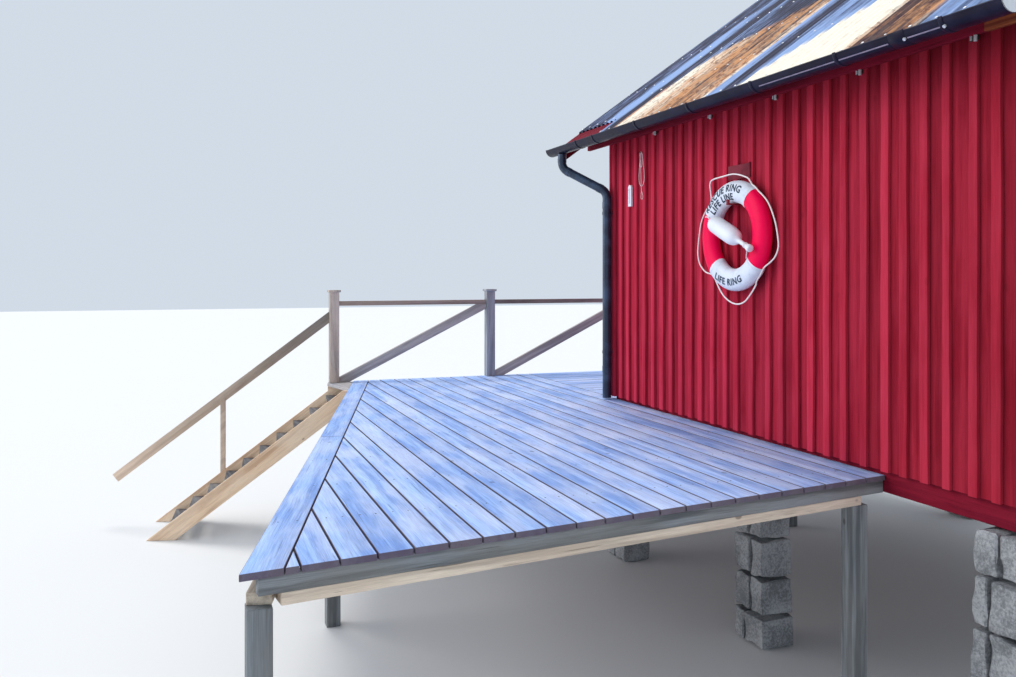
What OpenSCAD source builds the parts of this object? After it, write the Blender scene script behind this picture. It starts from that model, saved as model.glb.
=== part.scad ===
// A small board-and-batten boathouse with a corrugated roof, a timber deck and a stair to the water

/* [Building] */
// Length of the eaves walls, along X
wall_length = 4160; // [3500:10:5200]
// Width across the gables, along Y
gable_width = 4000; // [3400:10:5000]
// Thickness of a wall from the face of its battens to the back of its studs
wall_thickness = 140; // [100:5:200]
// Depth of boards and battens on the walls
cladding_depth = 44; // [30:1:60]
// Height of the eaves walls above the deck, at their outer face
eaves_height = 2416; // [2200:1:2700]
// Gap under the wall boards, above the deck
board_clearance = 25; // [10:1:60]
// Height of the timber sill under the walls
sill_height = 120; // [100:5:200]

/* [Door in the lake gable] */
// Width of the doorway
door_width = 1300; // [900:10:1800]
// Height of the doorway above the sill
door_height = 1950; // [1700:10:2100]
// Width of the frame round the door
door_casing = 70; // [50:5:120]
// Thickness of each door leaf
leaf_thickness = 42; // [30:1:60]
// Gap round the door leaves
leaf_gap = 4; // [2:1:8]
// Cover of the door stop behind the leaves
stop_cover = 18; // [10:1:30]

/* [Roof] */
// Pitch of both slopes, in degrees
roof_pitch = 36; // [25:1:42]
// Roof beyond the lake gable
lake_verge = 390; // [200:10:500]
// Roof beyond the land gable
land_verge = 190; // [150:10:500]
// Thickness of the boards under the sheets
boarding_thickness = 22; // [18:1:32]
// Overhang of the boards past the eaves walls, measured level
eaves_overhang = 250; // [150:10:400]
// Width of a rafter
rafter_width = 45; // [35:1:75]
// Depth of a rafter, square to the slope
rafter_depth = 95; // [70:5:150]
// Depth of a rafter's tail outside the wall, square to the slope
tail_depth = 45; // [35:1:70]
// Height of the plate along the top of an eaves wall
plate_height = 70; // [40:1:120]
// Thickness of that plate
plate_thickness = 30; // [20:1:50]
// Rafters between the two gables
inner_rafters = 5; // [3:1:8]
// Height of the fascia board
fascia_height = 70; // [50:5:120]
// Thickness of fascia and barge boards
trim_thickness = 22; // [15:1:32]
// Depth of the barge boards, square to the slope
barge_depth = 117; // [90:1:180]
// Width of the ridge board
ridge_board_width = 45; // [35:1:75]
// Height of the ridge board
ridge_board_height = 170; // [120:5:250]

/* [Corrugated sheets] */
// Sheets side by side on each slope
sheets_per_slope = 6; // [4:1:8]
// Waves that each sheet covers
waves_per_sheet = 10; // [6:1:12]
// Depth of the corrugation, without the metal
wave_depth = 16; // [10:1:30]
// Thickness of the sheets as modelled
sheet_thickness = 2; // [1:0.5:4]
// Straight steps that make one wave
wave_steps = 8; // [6:2:12]
// Sheets past the fascia, measured level
sheet_drip = 45; // [20:5:80]
// How far the first sheet on the deck side stops short of the others
short_sheet_gap = 200; // [50:10:400]
// Width of one wing of the ridge cap
cap_wing = 150; // [100:5:220]

/* [Gutters and downpipes] */
// Outer diameter of the half-round gutter
gutter_diameter = 125; // [100:1:150]
// Metal of gutter and pipes
gutter_wall = 2; // [1:0.5:4]
// Gutter past the lake verge
gutter_lake_extra = 100; // [20:10:250]
// Gutter brackets on each side
bracket_count = 7; // [4:1:10]
// Width of a bracket strap
bracket_width = 25; // [15:1:40]
// Thickness of a bracket strap
bracket_thickness = 4; // [3:1:6]
// Outer diameter of the downpipe
pipe_diameter = 75; // [60:1:100]
// Radius of the pipe's elbows, at the centre line
elbow_radius = 95; // [80:5:150]
// Outlet beyond the lake gable
outlet_from_gable = 260; // [180:10:350]
// Length of the upright outlet under the gutter
outlet_length = 70; // [40:5:150]
// Lean of the slanted pipe from upright, in degrees
pipe_fall = 62; // [40:1:75]
// Gap between the foot of the pipe and the deck
pipe_foot_gap = 12; // [5:1:60]

/* [Deck] */
// Deck surface above the water, where everything stands
deck_height = 1340; // [900:10:1800]
// Deck beyond the lake gable
deck_lake_depth = 2050; // [1500:10:2600]
// Deck depth in front of the wall at the lake gable's line
deck_side_depth = 2390; // [1800:10:3000]
// Angle between the outer edge and the wall
outer_edge_angle = 14.2; // [0:0.1:20]
// Angle by which the land end leans from square
land_edge_angle = 8.2; // [0:0.1:15]
// Length of the deck along the wall from the lake gable
deck_wall_length = 3240; // [2400:10:4000]
// Thickness of the deck boards
deck_board_thickness = 28; // [20:1:45]
// Width of the border board along the outer edge
border_width = 150; // [95:5:200]
// Gap between border and boards, and round the walls
deck_gap = 6; // [3:1:12]
// Height of the joists
joist_height = 70; // [60:5:150]
// Width of the joists
joist_width = 45; // [35:1:75]
// Number of joists under the side deck
joist_count = 9; // [5:1:12]
// Height of the beams under the joists
beam_height = 48; // [40:1:150]
// Width of the beams and of the legs
beam_width = 95; // [70:5:150]
// Legs under the beam at the outer edge
outer_legs = 3; // [2:1:6]

/* [Railing] */
// Side of a square rail post
post_side = 92; // [70:1:120]
// Height of the posts with their caps
post_height = 925; // [800:5:1100]
// Thickness of a post cap
cap_thickness = 22; // [15:1:40]
// Overhang of a post cap
cap_overhang = 14; // [5:1:30]
// Distance between two posts
post_spacing = 1660; // [1200:10:2000]
// Distance of the first post from the deck's outer edge
post_reach = 183; // [120:1:260]
// Height of the middle of the top rail
rail_height = 790; // [650:5:850]
// Height of rail and brace timber
rail_depth = 45; // [30:1:95]
// Thickness of rail and brace timber
rail_thickness = 40; // [25:1:70]

/* [Stair] */
// Distance of the stair from the deck's lake corner
stair_start = 117; // [100:1:400]
// Width of the stair over both stringers
stair_width = 690; // [550:10:1000]
// Pitch of the stair, in degrees
stair_pitch = 37.2; // [30:0.1:45]
// Angle between the treads and the deck's outer edge
stair_skew = 8.4; // [0:0.2:12]
// Level distance from the deck's edge to the near stringer's slope
stair_set_out = 35; // [10:5:60]
// Number of treads
tread_count = 10; // [6:1:12]
// Depth of a tread, front to back
tread_depth = 130; // [100:5:160]
// Level distance from a tread's nose to the stringer's top edge
nose_cover = 30; // [10:5:60]
// Thickness of a tread
tread_thickness = 36; // [28:1:60]
// Depth of a stringer, square to the slope
stringer_depth = 155; // [130:5:260]
// Thickness of a stringer
stringer_thickness = 45; // [35:1:70]
// Length of the board at the stair's head, along the deck's edge
head_board_length = 550; // [300:10:680]
// Handrail height where it leaves the first post
handrail_height = 655; // [500:5:800]
// Level reach of the handrail
handrail_reach = 2310; // [1800:10:2600]
// Pitch of the handrail, in degrees
handrail_pitch = 37.2; // [30:0.1:45]
// Depth of the handrail board
handrail_depth = 90; // [60:5:145]
// Thickness of the handrail board
handrail_thickness = 34; // [22:1:60]
// Distance of the newel from the deck edge
newel_reach = 1240; // [800:10:1600]

/* [Piers] */
// Top side of a stone pier
pier_top = 260; // [180:10:400]
// Foot side of a stone pier
pier_foot = 340; // [220:10:500]
// Piers along each eaves wall
piers_per_wall = 3; // [2:1:5]

/* [Things on the wall] */
// Middle of the lifebuoy from the lake gable
buoy_x = 1982; // [1500:2:2600]
// Middle of the lifebuoy above the deck
buoy_height = 1337; // [1100:1:1500]
// Outer diameter of the lifebuoy
buoy_diameter = 738; // [600:2:760]
// Width of its section
buoy_section_width = 152; // [110:1:170]
// Thickness of its section
buoy_section_depth = 108; // [80:1:130]
// Length of the white float, with its neck
float_length = 475; // [400:5:560]
// Largest diameter of the float
float_diameter = 140; // [80:1:150]
// Tilt of the float from level, in degrees
float_tilt = 24; // [10:1:40]
// Middle of the float from the middle of the ring, along X
float_shift = 78; // [60:1:90]
// Diameter of the grab line
grab_line_diameter = 10; // [6:0.5:14]
// Middle of the thermometer from the lake gable
thermometer_x = 405; // [200:5:800]
// Middle of the thermometer above the deck
thermometer_height = 1735; // [1500:5:1900]
// Length of the thermometer
thermometer_length = 178; // [120:2:300]
// Thickness of the thermometer
thermometer_thickness = 18; // [8:1:30]
// Middle of the cord hank from the lake gable
hank_x = 590; // [500:5:1000]
// Nail of the cord hank above the deck
hank_height = 2070; // [1900:5:2150]
// Length of the cord hank
hank_length = 265; // [200:5:320]
// Width of the cord hank
hank_width = 76; // [50:2:110]

/* [Hidden] */
$fn = 48;

// Clearance between curved neighbours
seat = 0.3;

// Levels above the water
deck_top = deck_height;
wall_bottom = deck_top + board_clearance;
eaves_top = deck_top + eaves_height;
deck_board_bottom = deck_top - deck_board_thickness;
joist_bottom = deck_board_bottom - joist_height;
beam_bottom = joist_bottom - beam_height;
sill_bottom = wall_bottom - sill_height;

// Roof planes: heights are measured at the outer face of the eaves wall
slope = tan(roof_pitch);
up = 1 / cos(roof_pitch);
ridge_y = gable_width / 2;
boarding_rise = boarding_thickness * up;
rafter_rise = rafter_depth * up;
roof_start = -lake_verge;
roof_end = wall_length + land_verge;
roof_length = roof_end - roof_start;
sheet_cover = roof_length / sheets_per_slope;
wave = sheet_cover / waves_per_sheet;

// Top of the boarding at a distance y from the eaves wall's outer face
function boarding_top(y) = eaves_top + boarding_rise + slope * y;
function boarding_under(y) = eaves_top + slope * y;
function rafter_under(y) = eaves_top - rafter_rise + slope * y;
function tail_under(y) = eaves_top - tail_depth * up + slope * y;

// Colours, as in the photo
red_paint = [0.62, 0.16, 0.22];
dark_red = [0.38, 0.06, 0.10];
grey_wood = [0.66, 0.70, 0.76];
brown_wood = [0.50, 0.44, 0.40];
new_wood = [0.87, 0.76, 0.58];
dark_metal = [0.16, 0.18, 0.27];
old_metal = [0.62, 0.60, 0.60];
rust = [0.78, 0.60, 0.42];
stone = [0.55, 0.56, 0.58];
white = [0.93, 0.93, 0.93];

// Half widths and centre of the whole part, which stands with its origin under the middle
edge_u = [cos(outer_edge_angle), -sin(outer_edge_angle)];
edge_n = [-sin(outer_edge_angle), -cos(outer_edge_angle)];
lake_x = -deck_lake_depth;
corner_a = [lake_x, outer_y(lake_x)];
function outer_y(x) = -deck_side_depth - tan(outer_edge_angle) * x;
function land_x(y) = deck_wall_length - tan(land_edge_angle) * y;
land_corner_y = (-deck_side_depth - tan(outer_edge_angle) * deck_wall_length)
    / (1 - tan(outer_edge_angle) * tan(land_edge_angle));
corner_b = [land_x(land_corner_y), land_corner_y];

handrail_inset = (stringer_thickness - handrail_thickness) / 2;
handrail_far_foot = corner_a + (stair_start + handrail_inset) * edge_u + handrail_reach * edge_n;
handrail_foot = handrail_far_foot + handrail_thickness * edge_u;

gutter_y = -eaves_overhang - trim_thickness - gutter_diameter / 2 - bracket_thickness - seat;
gutter_front = gutter_y - gutter_diameter / 2 - bracket_thickness - seat;
box_low = [min(handrail_far_foot[0], lake_x), min(handrail_foot[1], corner_b[1])];
box_high = [roof_end, gable_width - gutter_front];
centre = (box_low + box_high) / 2;

// Puts a piece that is drawn from the lake corner of the wall into the part's own frame
module placed() {
    translate([-centre[0], -centre[1], 0]) children();
}

// Draws the same thing again on the far side of the ridge
module mirrored_across_ridge() {
    translate([0, gable_width, 0]) mirror([0, 1, 0]) children();
}

// Extrudes an outline in the Y-Z plane along X, from x0 to x1
module along_x(x0, x1, outline) {
    translate([x0, 0, 0]) rotate([90, 0, 90]) linear_extrude(x1 - x0) polygon(outline);
}

// A straight timber between two points of the plan, with its own width and height
module plan_timber(p, q, width, low, high) {
    run = q - p;
    translate([p[0], p[1], low]) rotate([0, 0, atan2(run[1], run[0])])
        translate([0, -width / 2, 0]) cube([norm(run), width, high - low]);
}

// Stone piers
module pier(x, y) {
    foot = pier_foot / 2;
    head = pier_top / 2;
    translate([x, y, 0]) rotate([90, 0, 0]) translate([0, 0, -head])
        linear_extrude(pier_top)
            polygon([[-foot, 0], [foot, 0], [head, sill_bottom], [-head, sill_bottom]]);
}

module stone_piers() {
    first = pier_foot / 2;
    last = wall_length - pier_foot / 2;
    middle = (cladding_depth + wall_thickness) / 2;
    color(stone) placed()
        for (i = [0 : piers_per_wall - 1], y = [middle, gable_width - middle])
            pier(first + i * (last - first) / (piers_per_wall - 1), y);
}

// Sill
module sill_frame() {
    depth = wall_thickness - cladding_depth;
    between = gable_width - 2 * wall_thickness - 2 * seat;
    color(dark_red) placed() {
        for (y = [cladding_depth, gable_width - wall_thickness])
            translate([cladding_depth, y, sill_bottom])
                cube([wall_length - 2 * cladding_depth, depth, sill_height]);
        for (x = [cladding_depth, wall_length - wall_thickness])
            translate([x, wall_thickness + seat, sill_bottom]) cube([depth, between, sill_height]);
    }
}

// Rafters
inner_first = wall_thickness;
inner_last = wall_length - wall_thickness - rafter_width;
end_inset = 30;
rafter_places = concat(
    [end_inset],
    [for (i = [1 : inner_rafters]) inner_first + i * (inner_last - inner_first) / (inner_rafters + 1)],
    [wall_length - end_inset - rafter_width]
);

module rafter(x) {
    low = -eaves_overhang;
    step = -plate_thickness;
    high = ridge_y - ridge_board_width / 2;
    along_x(x, x + rafter_width, [
        [low, tail_under(low)], [step, tail_under(step)], [step, rafter_under(step)],
        [high, rafter_under(high)], [high, boarding_under(high)], [low, boarding_under(low)]
    ]);
}

module front_rafters() {
    color(dark_red) placed() for (x = rafter_places) rafter(x);
}

module back_rafters() {
    color(dark_red) placed() mirrored_across_ridge() for (x = rafter_places) rafter(x);
}

// Walls
module eaves_wall() {
    difference() {
        along_x(0, wall_length, [
            [0, wall_bottom], [wall_thickness, wall_bottom],
            [wall_thickness, boarding_under(wall_thickness)], [0, boarding_under(0)]
        ]);
        for (x = rafter_places) rafter(x);
    }
}

module front_wall() {
    color(red_paint) placed() eaves_wall();
}

module back_wall() {
    color(red_paint) placed() mirrored_across_ridge() eaves_wall();
}

// Outline of a gable between two distances from the deck-side wall
function gable_slice(y0, y1, low) = concat(
    [[y0, low], [y1, low], [y1, gable_top(y1)]],
    y0 < ridge_y && y1 > ridge_y ? [[ridge_y, gable_top(ridge_y)]] : [],
    [[y0, gable_top(y0)]]
);
function gable_top(y) = y < ridge_y ? boarding_under(y) : boarding_under(gable_width - y);

door_low = (gable_width - door_width) / 2 - door_casing;
door_high = (gable_width + door_width) / 2 + door_casing;
door_head = wall_bottom + door_height + door_casing;
gable_inner = gable_width - wall_thickness;

// Takes the room of the end rafters and of the ridge board out of a gable
module gable_cuts(x) {
    rafter(x);
    mirrored_across_ridge() rafter(x);
    ridge_timber();
}

module land_gable_wall() {
    color(red_paint) placed() difference() {
        along_x(wall_length - wall_thickness, wall_length,
            gable_slice(wall_thickness, gable_inner, wall_bottom));
        gable_cuts(rafter_places[inner_rafters + 1]);
    }
}

module lake_gable_slice(y0, y1, low) {
    color(red_paint) placed() difference() {
        along_x(0, wall_thickness, gable_slice(y0, y1, low));
        gable_cuts(rafter_places[0]);
    }
}

module lake_gable_left() {
    lake_gable_slice(wall_thickness, door_low, wall_bottom);
}

module lake_gable_right() {
    lake_gable_slice(door_high, gable_inner, wall_bottom);
}

module lake_gable_top() {
    lake_gable_slice(door_low, door_high, door_head);
}

// Door in the lake gable: the leaves close against a stop behind them
leaf_face = trim_thickness;
leaf_back = leaf_face + leaf_thickness;
leaf_width = (door_width - 3 * leaf_gap) / 2;

// One side or the head of the frame, as an outline across it with its rebate, drawn along its length
module door_jamb(length) {
    linear_extrude(length) polygon([
        [0, 0], [wall_thickness, 0], [wall_thickness, door_casing + stop_cover],
        [leaf_back, door_casing + stop_cover], [leaf_back, door_casing], [0, door_casing]
    ]);
}

module door_frame() {
    color(dark_red) placed() {
        translate([0, door_low, wall_bottom]) door_jamb(door_height - stop_cover - seat);
        translate([0, door_high, wall_bottom]) mirror([0, 1, 0]) door_jamb(door_height - stop_cover - seat);
        translate([0, door_low, door_head]) rotate([-90, 0, 0]) door_jamb(door_high - door_low);
    }
}

module door_leaves() {
    first = door_low + door_casing + leaf_gap;
    color(red_paint) placed() for (y = [first, first + leaf_width + leaf_gap])
        translate([leaf_face, y, wall_bottom + leaf_gap])
            cube([leaf_thickness, leaf_width, door_height - 2 * leaf_gap]);
}

// Ridge board
module ridge_timber() {
    half = ridge_board_width / 2;
    top = boarding_under(ridge_y - half);
    translate([roof_start + trim_thickness, ridge_y - half, top - ridge_board_height])
        cube([roof_length - 2 * trim_thickness, ridge_board_width, ridge_board_height]);
}

module ridge_board() {
    color(dark_red) placed() ridge_timber();
}

// Roof boards
module boarding() {
    low = -eaves_overhang;
    along_x(roof_start + trim_thickness, roof_end - trim_thickness, [
        [low, boarding_under(low)], [ridge_y, boarding_under(ridge_y)],
        [ridge_y, boarding_top(ridge_y)], [low, boarding_top(low)]
    ]);
}

module front_boarding() {
    color(dark_red) placed() boarding();
}

module back_boarding() {
    color(dark_red) placed() mirrored_across_ridge() boarding();
}

// Fascia and barge boards, and the plate under the rafters, proud of the wall's battens
module fascia() {
    outer = -eaves_overhang - trim_thickness;
    top = boarding_top(outer);
    translate([roof_start + trim_thickness, outer, top - fascia_height])
        cube([roof_length - 2 * trim_thickness, trim_thickness, fascia_height]);
}

module eaves_plate() {
    top = rafter_under(-plate_thickness);
    translate([roof_start, -plate_thickness, top - plate_height])
        cube([roof_length, plate_thickness, plate_height]);
}

module fascia_boards() {
    color(dark_red) placed() {
        fascia();
        eaves_plate();
        mirrored_across_ridge() {
            fascia();
            eaves_plate();
        }
    }
}

module barge_board(x) {
    low = -eaves_overhang - trim_thickness;
    high = ridge_y - seat / 2;
    drop = barge_depth * up;
    along_x(x, x + trim_thickness, [
        [low, boarding_top(low) - drop], [high, boarding_top(high) - drop],
        [high, boarding_top(high)], [low, boarding_top(low)]
    ]);
}

module barge_boards() {
    color(dark_red) placed() for (x = [roof_start, roof_end - trim_thickness]) {
        barge_board(x);
        mirrored_across_ridge() barge_board(x);
    }
}

// Corrugated sheets: every second sheet lies over both its neighbours
function wave_height(x) = wave_depth / 2 * (1 - cos(360 * x / wave));

module sheet(index, short_by) {
    laps = index < sheets_per_slope ? 1 : 0;
    waves = waves_per_sheet + laps;
    lift = index % 2 == 0 ? sheet_thickness + seat : 0;
    steps = waves * wave_steps;
    xs = [for (i = [0 : steps]) i * wave / wave_steps];
    lower = [for (x = xs) [x, wave_height(x)]];
    upper = [for (i = [steps : -1 : 0]) [xs[i], wave_height(xs[i]) + sheet_thickness]];
    low = -eaves_overhang - trim_thickness - sheet_drip + short_by;
    run = (ridge_y - seat - low) * up;
    translate([roof_start + (index - 1) * sheet_cover, low, boarding_top(low)])
        rotate([roof_pitch, 0, 0]) translate([0, 0, lift])
            rotate([90, 0, 0]) mirror([0, 0, 1]) linear_extrude(run) polygon(concat(lower, upper));
}

module front_sheet(index) {
    color(index % 2 == 0 ? rust : old_metal) placed() sheet(index, index == 1 ? short_sheet_gap : 0);
}

module back_sheets() {
    color(old_metal) placed() mirrored_across_ridge()
        for (index = [1 : sheets_per_slope]) sheet(index, 0);
}

// Ridge cap
module ridge_cap() {
    clear = wave_depth + 2 * sheet_thickness + 2 * seat;
    base = clear * up;
    wing = cap_wing * cos(roof_pitch);
    top = sheet_thickness * up;
    color(old_metal) placed() along_x(roof_start, roof_end, [
        [ridge_y - wing, boarding_top(ridge_y - wing) + base],
        [ridge_y, boarding_top(ridge_y) + base],
        [ridge_y + wing, boarding_top(ridge_y - wing) + base],
        [ridge_y + wing, boarding_top(ridge_y - wing) + base + top],
        [ridge_y, boarding_top(ridge_y) + base + top],
        [ridge_y - wing, boarding_top(ridge_y - wing) + base + top]
    ]);
}

// Gutters
gutter_radius = gutter_diameter / 2;
gutter_z = boarding_top(-eaves_overhang - trim_thickness) - 35;
gutter_start = roof_start - gutter_lake_extra;
gutter_end = roof_end;
outlet_x = -outlet_from_gable;

module half_disc(radius) {
    intersection() {
        circle(radius);
        translate([-radius, -radius]) square([2 * radius, radius]);
    }
}

module gutter() {
    translate([gutter_start, gutter_y, gutter_z]) rotate([90, 0, 90]) difference() {
        linear_extrude(gutter_end - gutter_start) half_disc(gutter_radius);
        translate([0, 0, gutter_wall]) linear_extrude(gutter_end - gutter_start - 2 * gutter_wall)
            difference() {
                circle(gutter_radius - gutter_wall);
                translate([-gutter_radius, 0]) square([2 * gutter_radius, gutter_wall]);
            }
    }
}

module gutters() {
    color(dark_metal) placed() {
        gutter();
        mirrored_across_ridge() gutter();
    }
}

bracket_first = wall_length * 0.03 + bracket_width;
bracket_last = wall_length - bracket_width;
bracket_places = [
    for (i = [0 : bracket_count - 1])
        bracket_first + i * (bracket_last - bracket_first) / (bracket_count - 1)
];

module bracket(x) {
    outer = gutter_radius + seat + bracket_thickness;
    fascia_face = -eaves_overhang - trim_thickness;
    strap_top = boarding_top(fascia_face);
    translate([x - bracket_width / 2, gutter_y, gutter_z]) rotate([90, 0, 90]) linear_extrude(bracket_width)
        difference() {
            half_disc(outer);
            circle(gutter_radius + seat);
        }
    translate([x - bracket_width / 2, fascia_face - bracket_thickness, gutter_z - fascia_height / 2])
        cube([bracket_width, bracket_thickness, strap_top - gutter_z + fascia_height / 2]);
}

module gutter_brackets() {
    color(dark_metal) placed() {
        for (x = bracket_places) bracket(x);
        mirrored_across_ridge() for (x = bracket_places) bracket(x);
    }
}

// Downpipes, drawn in the upright plane through the outlet and the wall corner
pipe_radius = pipe_diameter / 2;
pipe_x = pipe_radius + 10;
pipe_y = -pipe_radius - pipe_foot_gap;
pipe_offset = norm([pipe_x - outlet_x, pipe_y - gutter_y]);
pipe_turn = atan2(pipe_y - gutter_y, pipe_x - outlet_x);
elbow_shift = elbow_radius * (1 - cos(pipe_fall));
elbow_drop = elbow_radius * sin(pipe_fall);
slant_length = (pipe_offset - 2 * elbow_shift) / sin(pipe_fall);
slant_drop = slant_length * cos(pipe_fall);
outlet_top = gutter_z - gutter_radius - seat;

module ring(radius) {
    difference() {
        circle(radius);
        circle(pipe_radius - gutter_wall);
    }
}

// A bend between two pipe ends, which stop just short of it
module elbow() {
    rotate([90, 0, 0]) rotate_extrude(angle = pipe_fall)
        translate([elbow_radius, 0]) ring(pipe_radius + gutter_wall);
}

module pipe(length) {
    translate([0, 0, seat]) linear_extrude(length - 2 * seat) ring(pipe_radius);
}

module downpipe() {
    foot = deck_top + pipe_foot_gap;
    bend_top = outlet_top - outlet_length;
    straight_top = bend_top - 2 * elbow_drop - slant_drop;
    translate([outlet_x, gutter_y, 0]) rotate([0, 0, pipe_turn]) {
        translate([0, 0, bend_top]) pipe(outlet_length);
        translate([elbow_radius, 0, bend_top]) rotate([0, 180, 0]) elbow();
        translate([elbow_shift, 0, bend_top - elbow_drop]) rotate([0, 180 - pipe_fall, 0]) pipe(slant_length);
        translate([pipe_offset - elbow_radius, 0, straight_top]) elbow();
        translate([pipe_offset, 0, foot]) pipe(straight_top - foot);
    }
}

module downpipes() {
    color(dark_metal) placed() {
        downpipe();
        mirrored_across_ridge() downpipe();
    }
}

// Deck
deck_wall_y = cladding_depth - deck_gap;
border_in = border_width / cos(outer_edge_angle);
seam_in = (border_width + deck_gap) / cos(outer_edge_angle);

module deck_slab(outline) {
    translate([0, 0, deck_board_bottom]) linear_extrude(deck_board_thickness) polygon(outline);
}

// Point where a line parallel to the outer edge, moved in by a distance, meets the land edge
function land_edge_point(inset) =
    let (y = (-deck_side_depth + inset - tan(outer_edge_angle) * deck_wall_length)
        / (1 - tan(outer_edge_angle) * tan(land_edge_angle)))
    [land_x(y), y];

module side_deck() {
    color(grey_wood) placed() deck_slab([
        [lake_x, outer_y(lake_x) + seam_in], land_edge_point(seam_in),
        [land_x(deck_wall_y), deck_wall_y], [lake_x, deck_wall_y]
    ]);
}

module lake_deck() {
    color(grey_wood) placed() deck_slab([
        [lake_x, cladding_depth], [deck_wall_y, cladding_depth],
        [deck_wall_y, gable_width], [lake_x, gable_width]
    ]);
}

module deck_border() {
    color(grey_wood) placed() deck_slab([
        corner_a, corner_b, land_edge_point(border_in), [lake_x, corner_a[1] + border_in]
    ]);
}

// Joists run square to the boards, beams carry them
beam_half = beam_width / 2;
pier_clearance = max(pier_foot, pier_top) / 2 - (cladding_depth + wall_thickness) / 2 + deck_gap;
edge_inset = 20;

module timber_joist(p, q) {
    plan_timber(p, q, joist_width, joist_bottom, deck_board_bottom);
}

module joist(x) {
    timber_joist([x, outer_y(x) + edge_inset], [x, cladding_depth]);
}

module lake_joist(y) {
    timber_joist([lake_x + edge_inset, y], [cladding_depth, y]);
}

land_joist_b = land_edge_point(edge_inset + joist_width) - [edge_inset + joist_width / 2, 0];
land_joist_c = [land_x(deck_wall_y) - edge_inset - joist_width / 2, deck_wall_y];

module deck_joists() {
    first = lake_x + edge_inset + joist_width / 2;
    last = deck_wall_length - 4 * joist_width;
    color(brown_wood) placed() {
        for (i = [0 : joist_count - 1]) joist(first + i * (last - first) / (joist_count - 1));
        timber_joist(land_joist_b, land_joist_c);
        for (y = [deck_wall_y + 2 * joist_width : (gable_width - 4 * joist_width) / 6 : gable_width])
            lake_joist(y);
    }
}

// How far a beam's square end stays back from the middle of the beam that it meets at a lean
function butt(lean) = beam_half / cos(lean) + beam_half * tan(lean) + seat;

function toward(p, q, distance) = p + (q - p) / norm(q - p) * distance;

beam_outer = edge_inset + beam_half;
beam_inner = -pier_clearance - beam_half;
beam_a = [lake_x + beam_outer, outer_y(lake_x + beam_outer) + beam_outer];
beam_b = land_edge_point(beam_outer + deck_gap) - [beam_outer, 0];
beam_c = [land_x(beam_inner) - beam_outer, beam_inner];
beam_d = [lake_x + beam_outer, beam_inner];
beam_e = [lake_x + beam_outer, gable_width - edge_inset];
beam_f = [beam_inner, gable_width - edge_inset];
beam_g = [beam_inner, beam_inner];

module beam(p, q) {
    plan_timber(p, q, beam_width, beam_bottom, joist_bottom);
}

module deck_beams() {
    lean = outer_edge_angle;
    color(brown_wood) placed() {
        beam(beam_a, beam_b);
        beam(toward(beam_b, beam_c, butt(lean + land_edge_angle)), beam_c);
        beam(toward(beam_d, beam_c, butt(0)), toward(beam_c, beam_d, butt(land_edge_angle)));
        beam(toward(beam_a, beam_e, butt(lean)), beam_e);
        beam(toward(beam_g, beam_f, butt(0)), beam_f);
    }
}

module leg(x, y) {
    translate([x - beam_half, y - beam_half, 0]) cube([beam_width, beam_width, beam_bottom]);
}

module deck_legs() {
    color(brown_wood) placed() {
        for (i = [0 : outer_legs - 1]) {
            p = beam_a + (beam_b - beam_a) * i / (outer_legs - 1);
            leg(p[0], p[1]);
        }
        leg(beam_c[0], beam_c[1]);
        leg(beam_d[0], beam_d[1]);
        for (x = [beam_d[0], beam_f[0]], y = [gable_width / 2, gable_width - beam_outer]) leg(x, y);
    }
}

// Railing
head_post = corner_a + (stair_start + stringer_thickness / 2) * edge_u + post_reach * edge_n;
post_x = lake_x + post_side / 2;
post_last = gable_width - post_side / 2;
whole_bays = floor((post_last - head_post[1]) / post_spacing);
post_ys = concat(
    [for (i = [1 : whole_bays]) head_post[1] + i * post_spacing],
    post_last - (head_post[1] + whole_bays * post_spacing) > 4 * post_side ? [post_last] : []
);
return_x = -post_side / 2 - 2 * deck_gap;
post_top = deck_top + post_height;

module rail_post(x, y) {
    translate([x - post_side / 2, y - post_side / 2, deck_top])
        cube([post_side, post_side, post_height - cap_thickness]);
    cap = post_side + 2 * cap_overhang;
    translate([x - cap / 2, y - cap / 2, post_top - cap_thickness]) cube([cap, cap, cap_thickness]);
}

module rail_posts() {
    color(brown_wood) placed() {
        rail_post(head_post[0], head_post[1]);
        for (y = post_ys) rail_post(post_x, y);
        rail_post(return_x, post_last);
    }
}

// Clear length between two posts, from face to face
module top_rail(p, q) {
    run = q - p;
    dir = run / norm(run);
    plan_timber(p + dir * post_side / 2, q - dir * post_side / 2, rail_thickness,
        deck_top + rail_height - rail_depth / 2, deck_top + rail_height + rail_depth / 2);
}

// A brace from the foot of one post to the underside of the rail at the next
module rail_brace(p, q) {
    run = q - p;
    clear = norm(run) - post_side;
    low = deck_top;
    high = deck_top + rail_height - rail_depth / 2;
    tall = rail_depth / cos(atan2(high - low, clear));
    translate([p[0], p[1], 0]) rotate([0, 0, atan2(run[1], run[0])])
        translate([post_side / 2, rail_thickness / 2, 0]) rotate([90, 0, 0])
            linear_extrude(rail_thickness) polygon([
                [0, low], [clear * tall / (high - low), low],
                [clear, high - tall], [clear, high], [clear - clear * tall / (high - low), high],
                [0, low + tall]
            ]);
}

bay_points = concat([head_post], [for (y = post_ys) [post_x, y]], [[return_x, post_last]]);

module top_rails() {
    color(brown_wood) placed()
        for (i = [0 : len(bay_points) - 2]) top_rail(bay_points[i], bay_points[i + 1]);
}

module rail_braces() {
    color(brown_wood) placed()
        for (i = [0 : len(bay_points) - 2]) rail_brace(bay_points[i], bay_points[i + 1]);
}

// Stair, drawn with its own X along the deck's outer edge and its own Y away from the deck
module at_stair() {
    placed() translate([corner_a[0], corner_a[1], 0]) rotate([0, 0, -outer_edge_angle])
        translate([stair_start, 0, 0]) mirror([0, 1, 0]) children();
}

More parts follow.
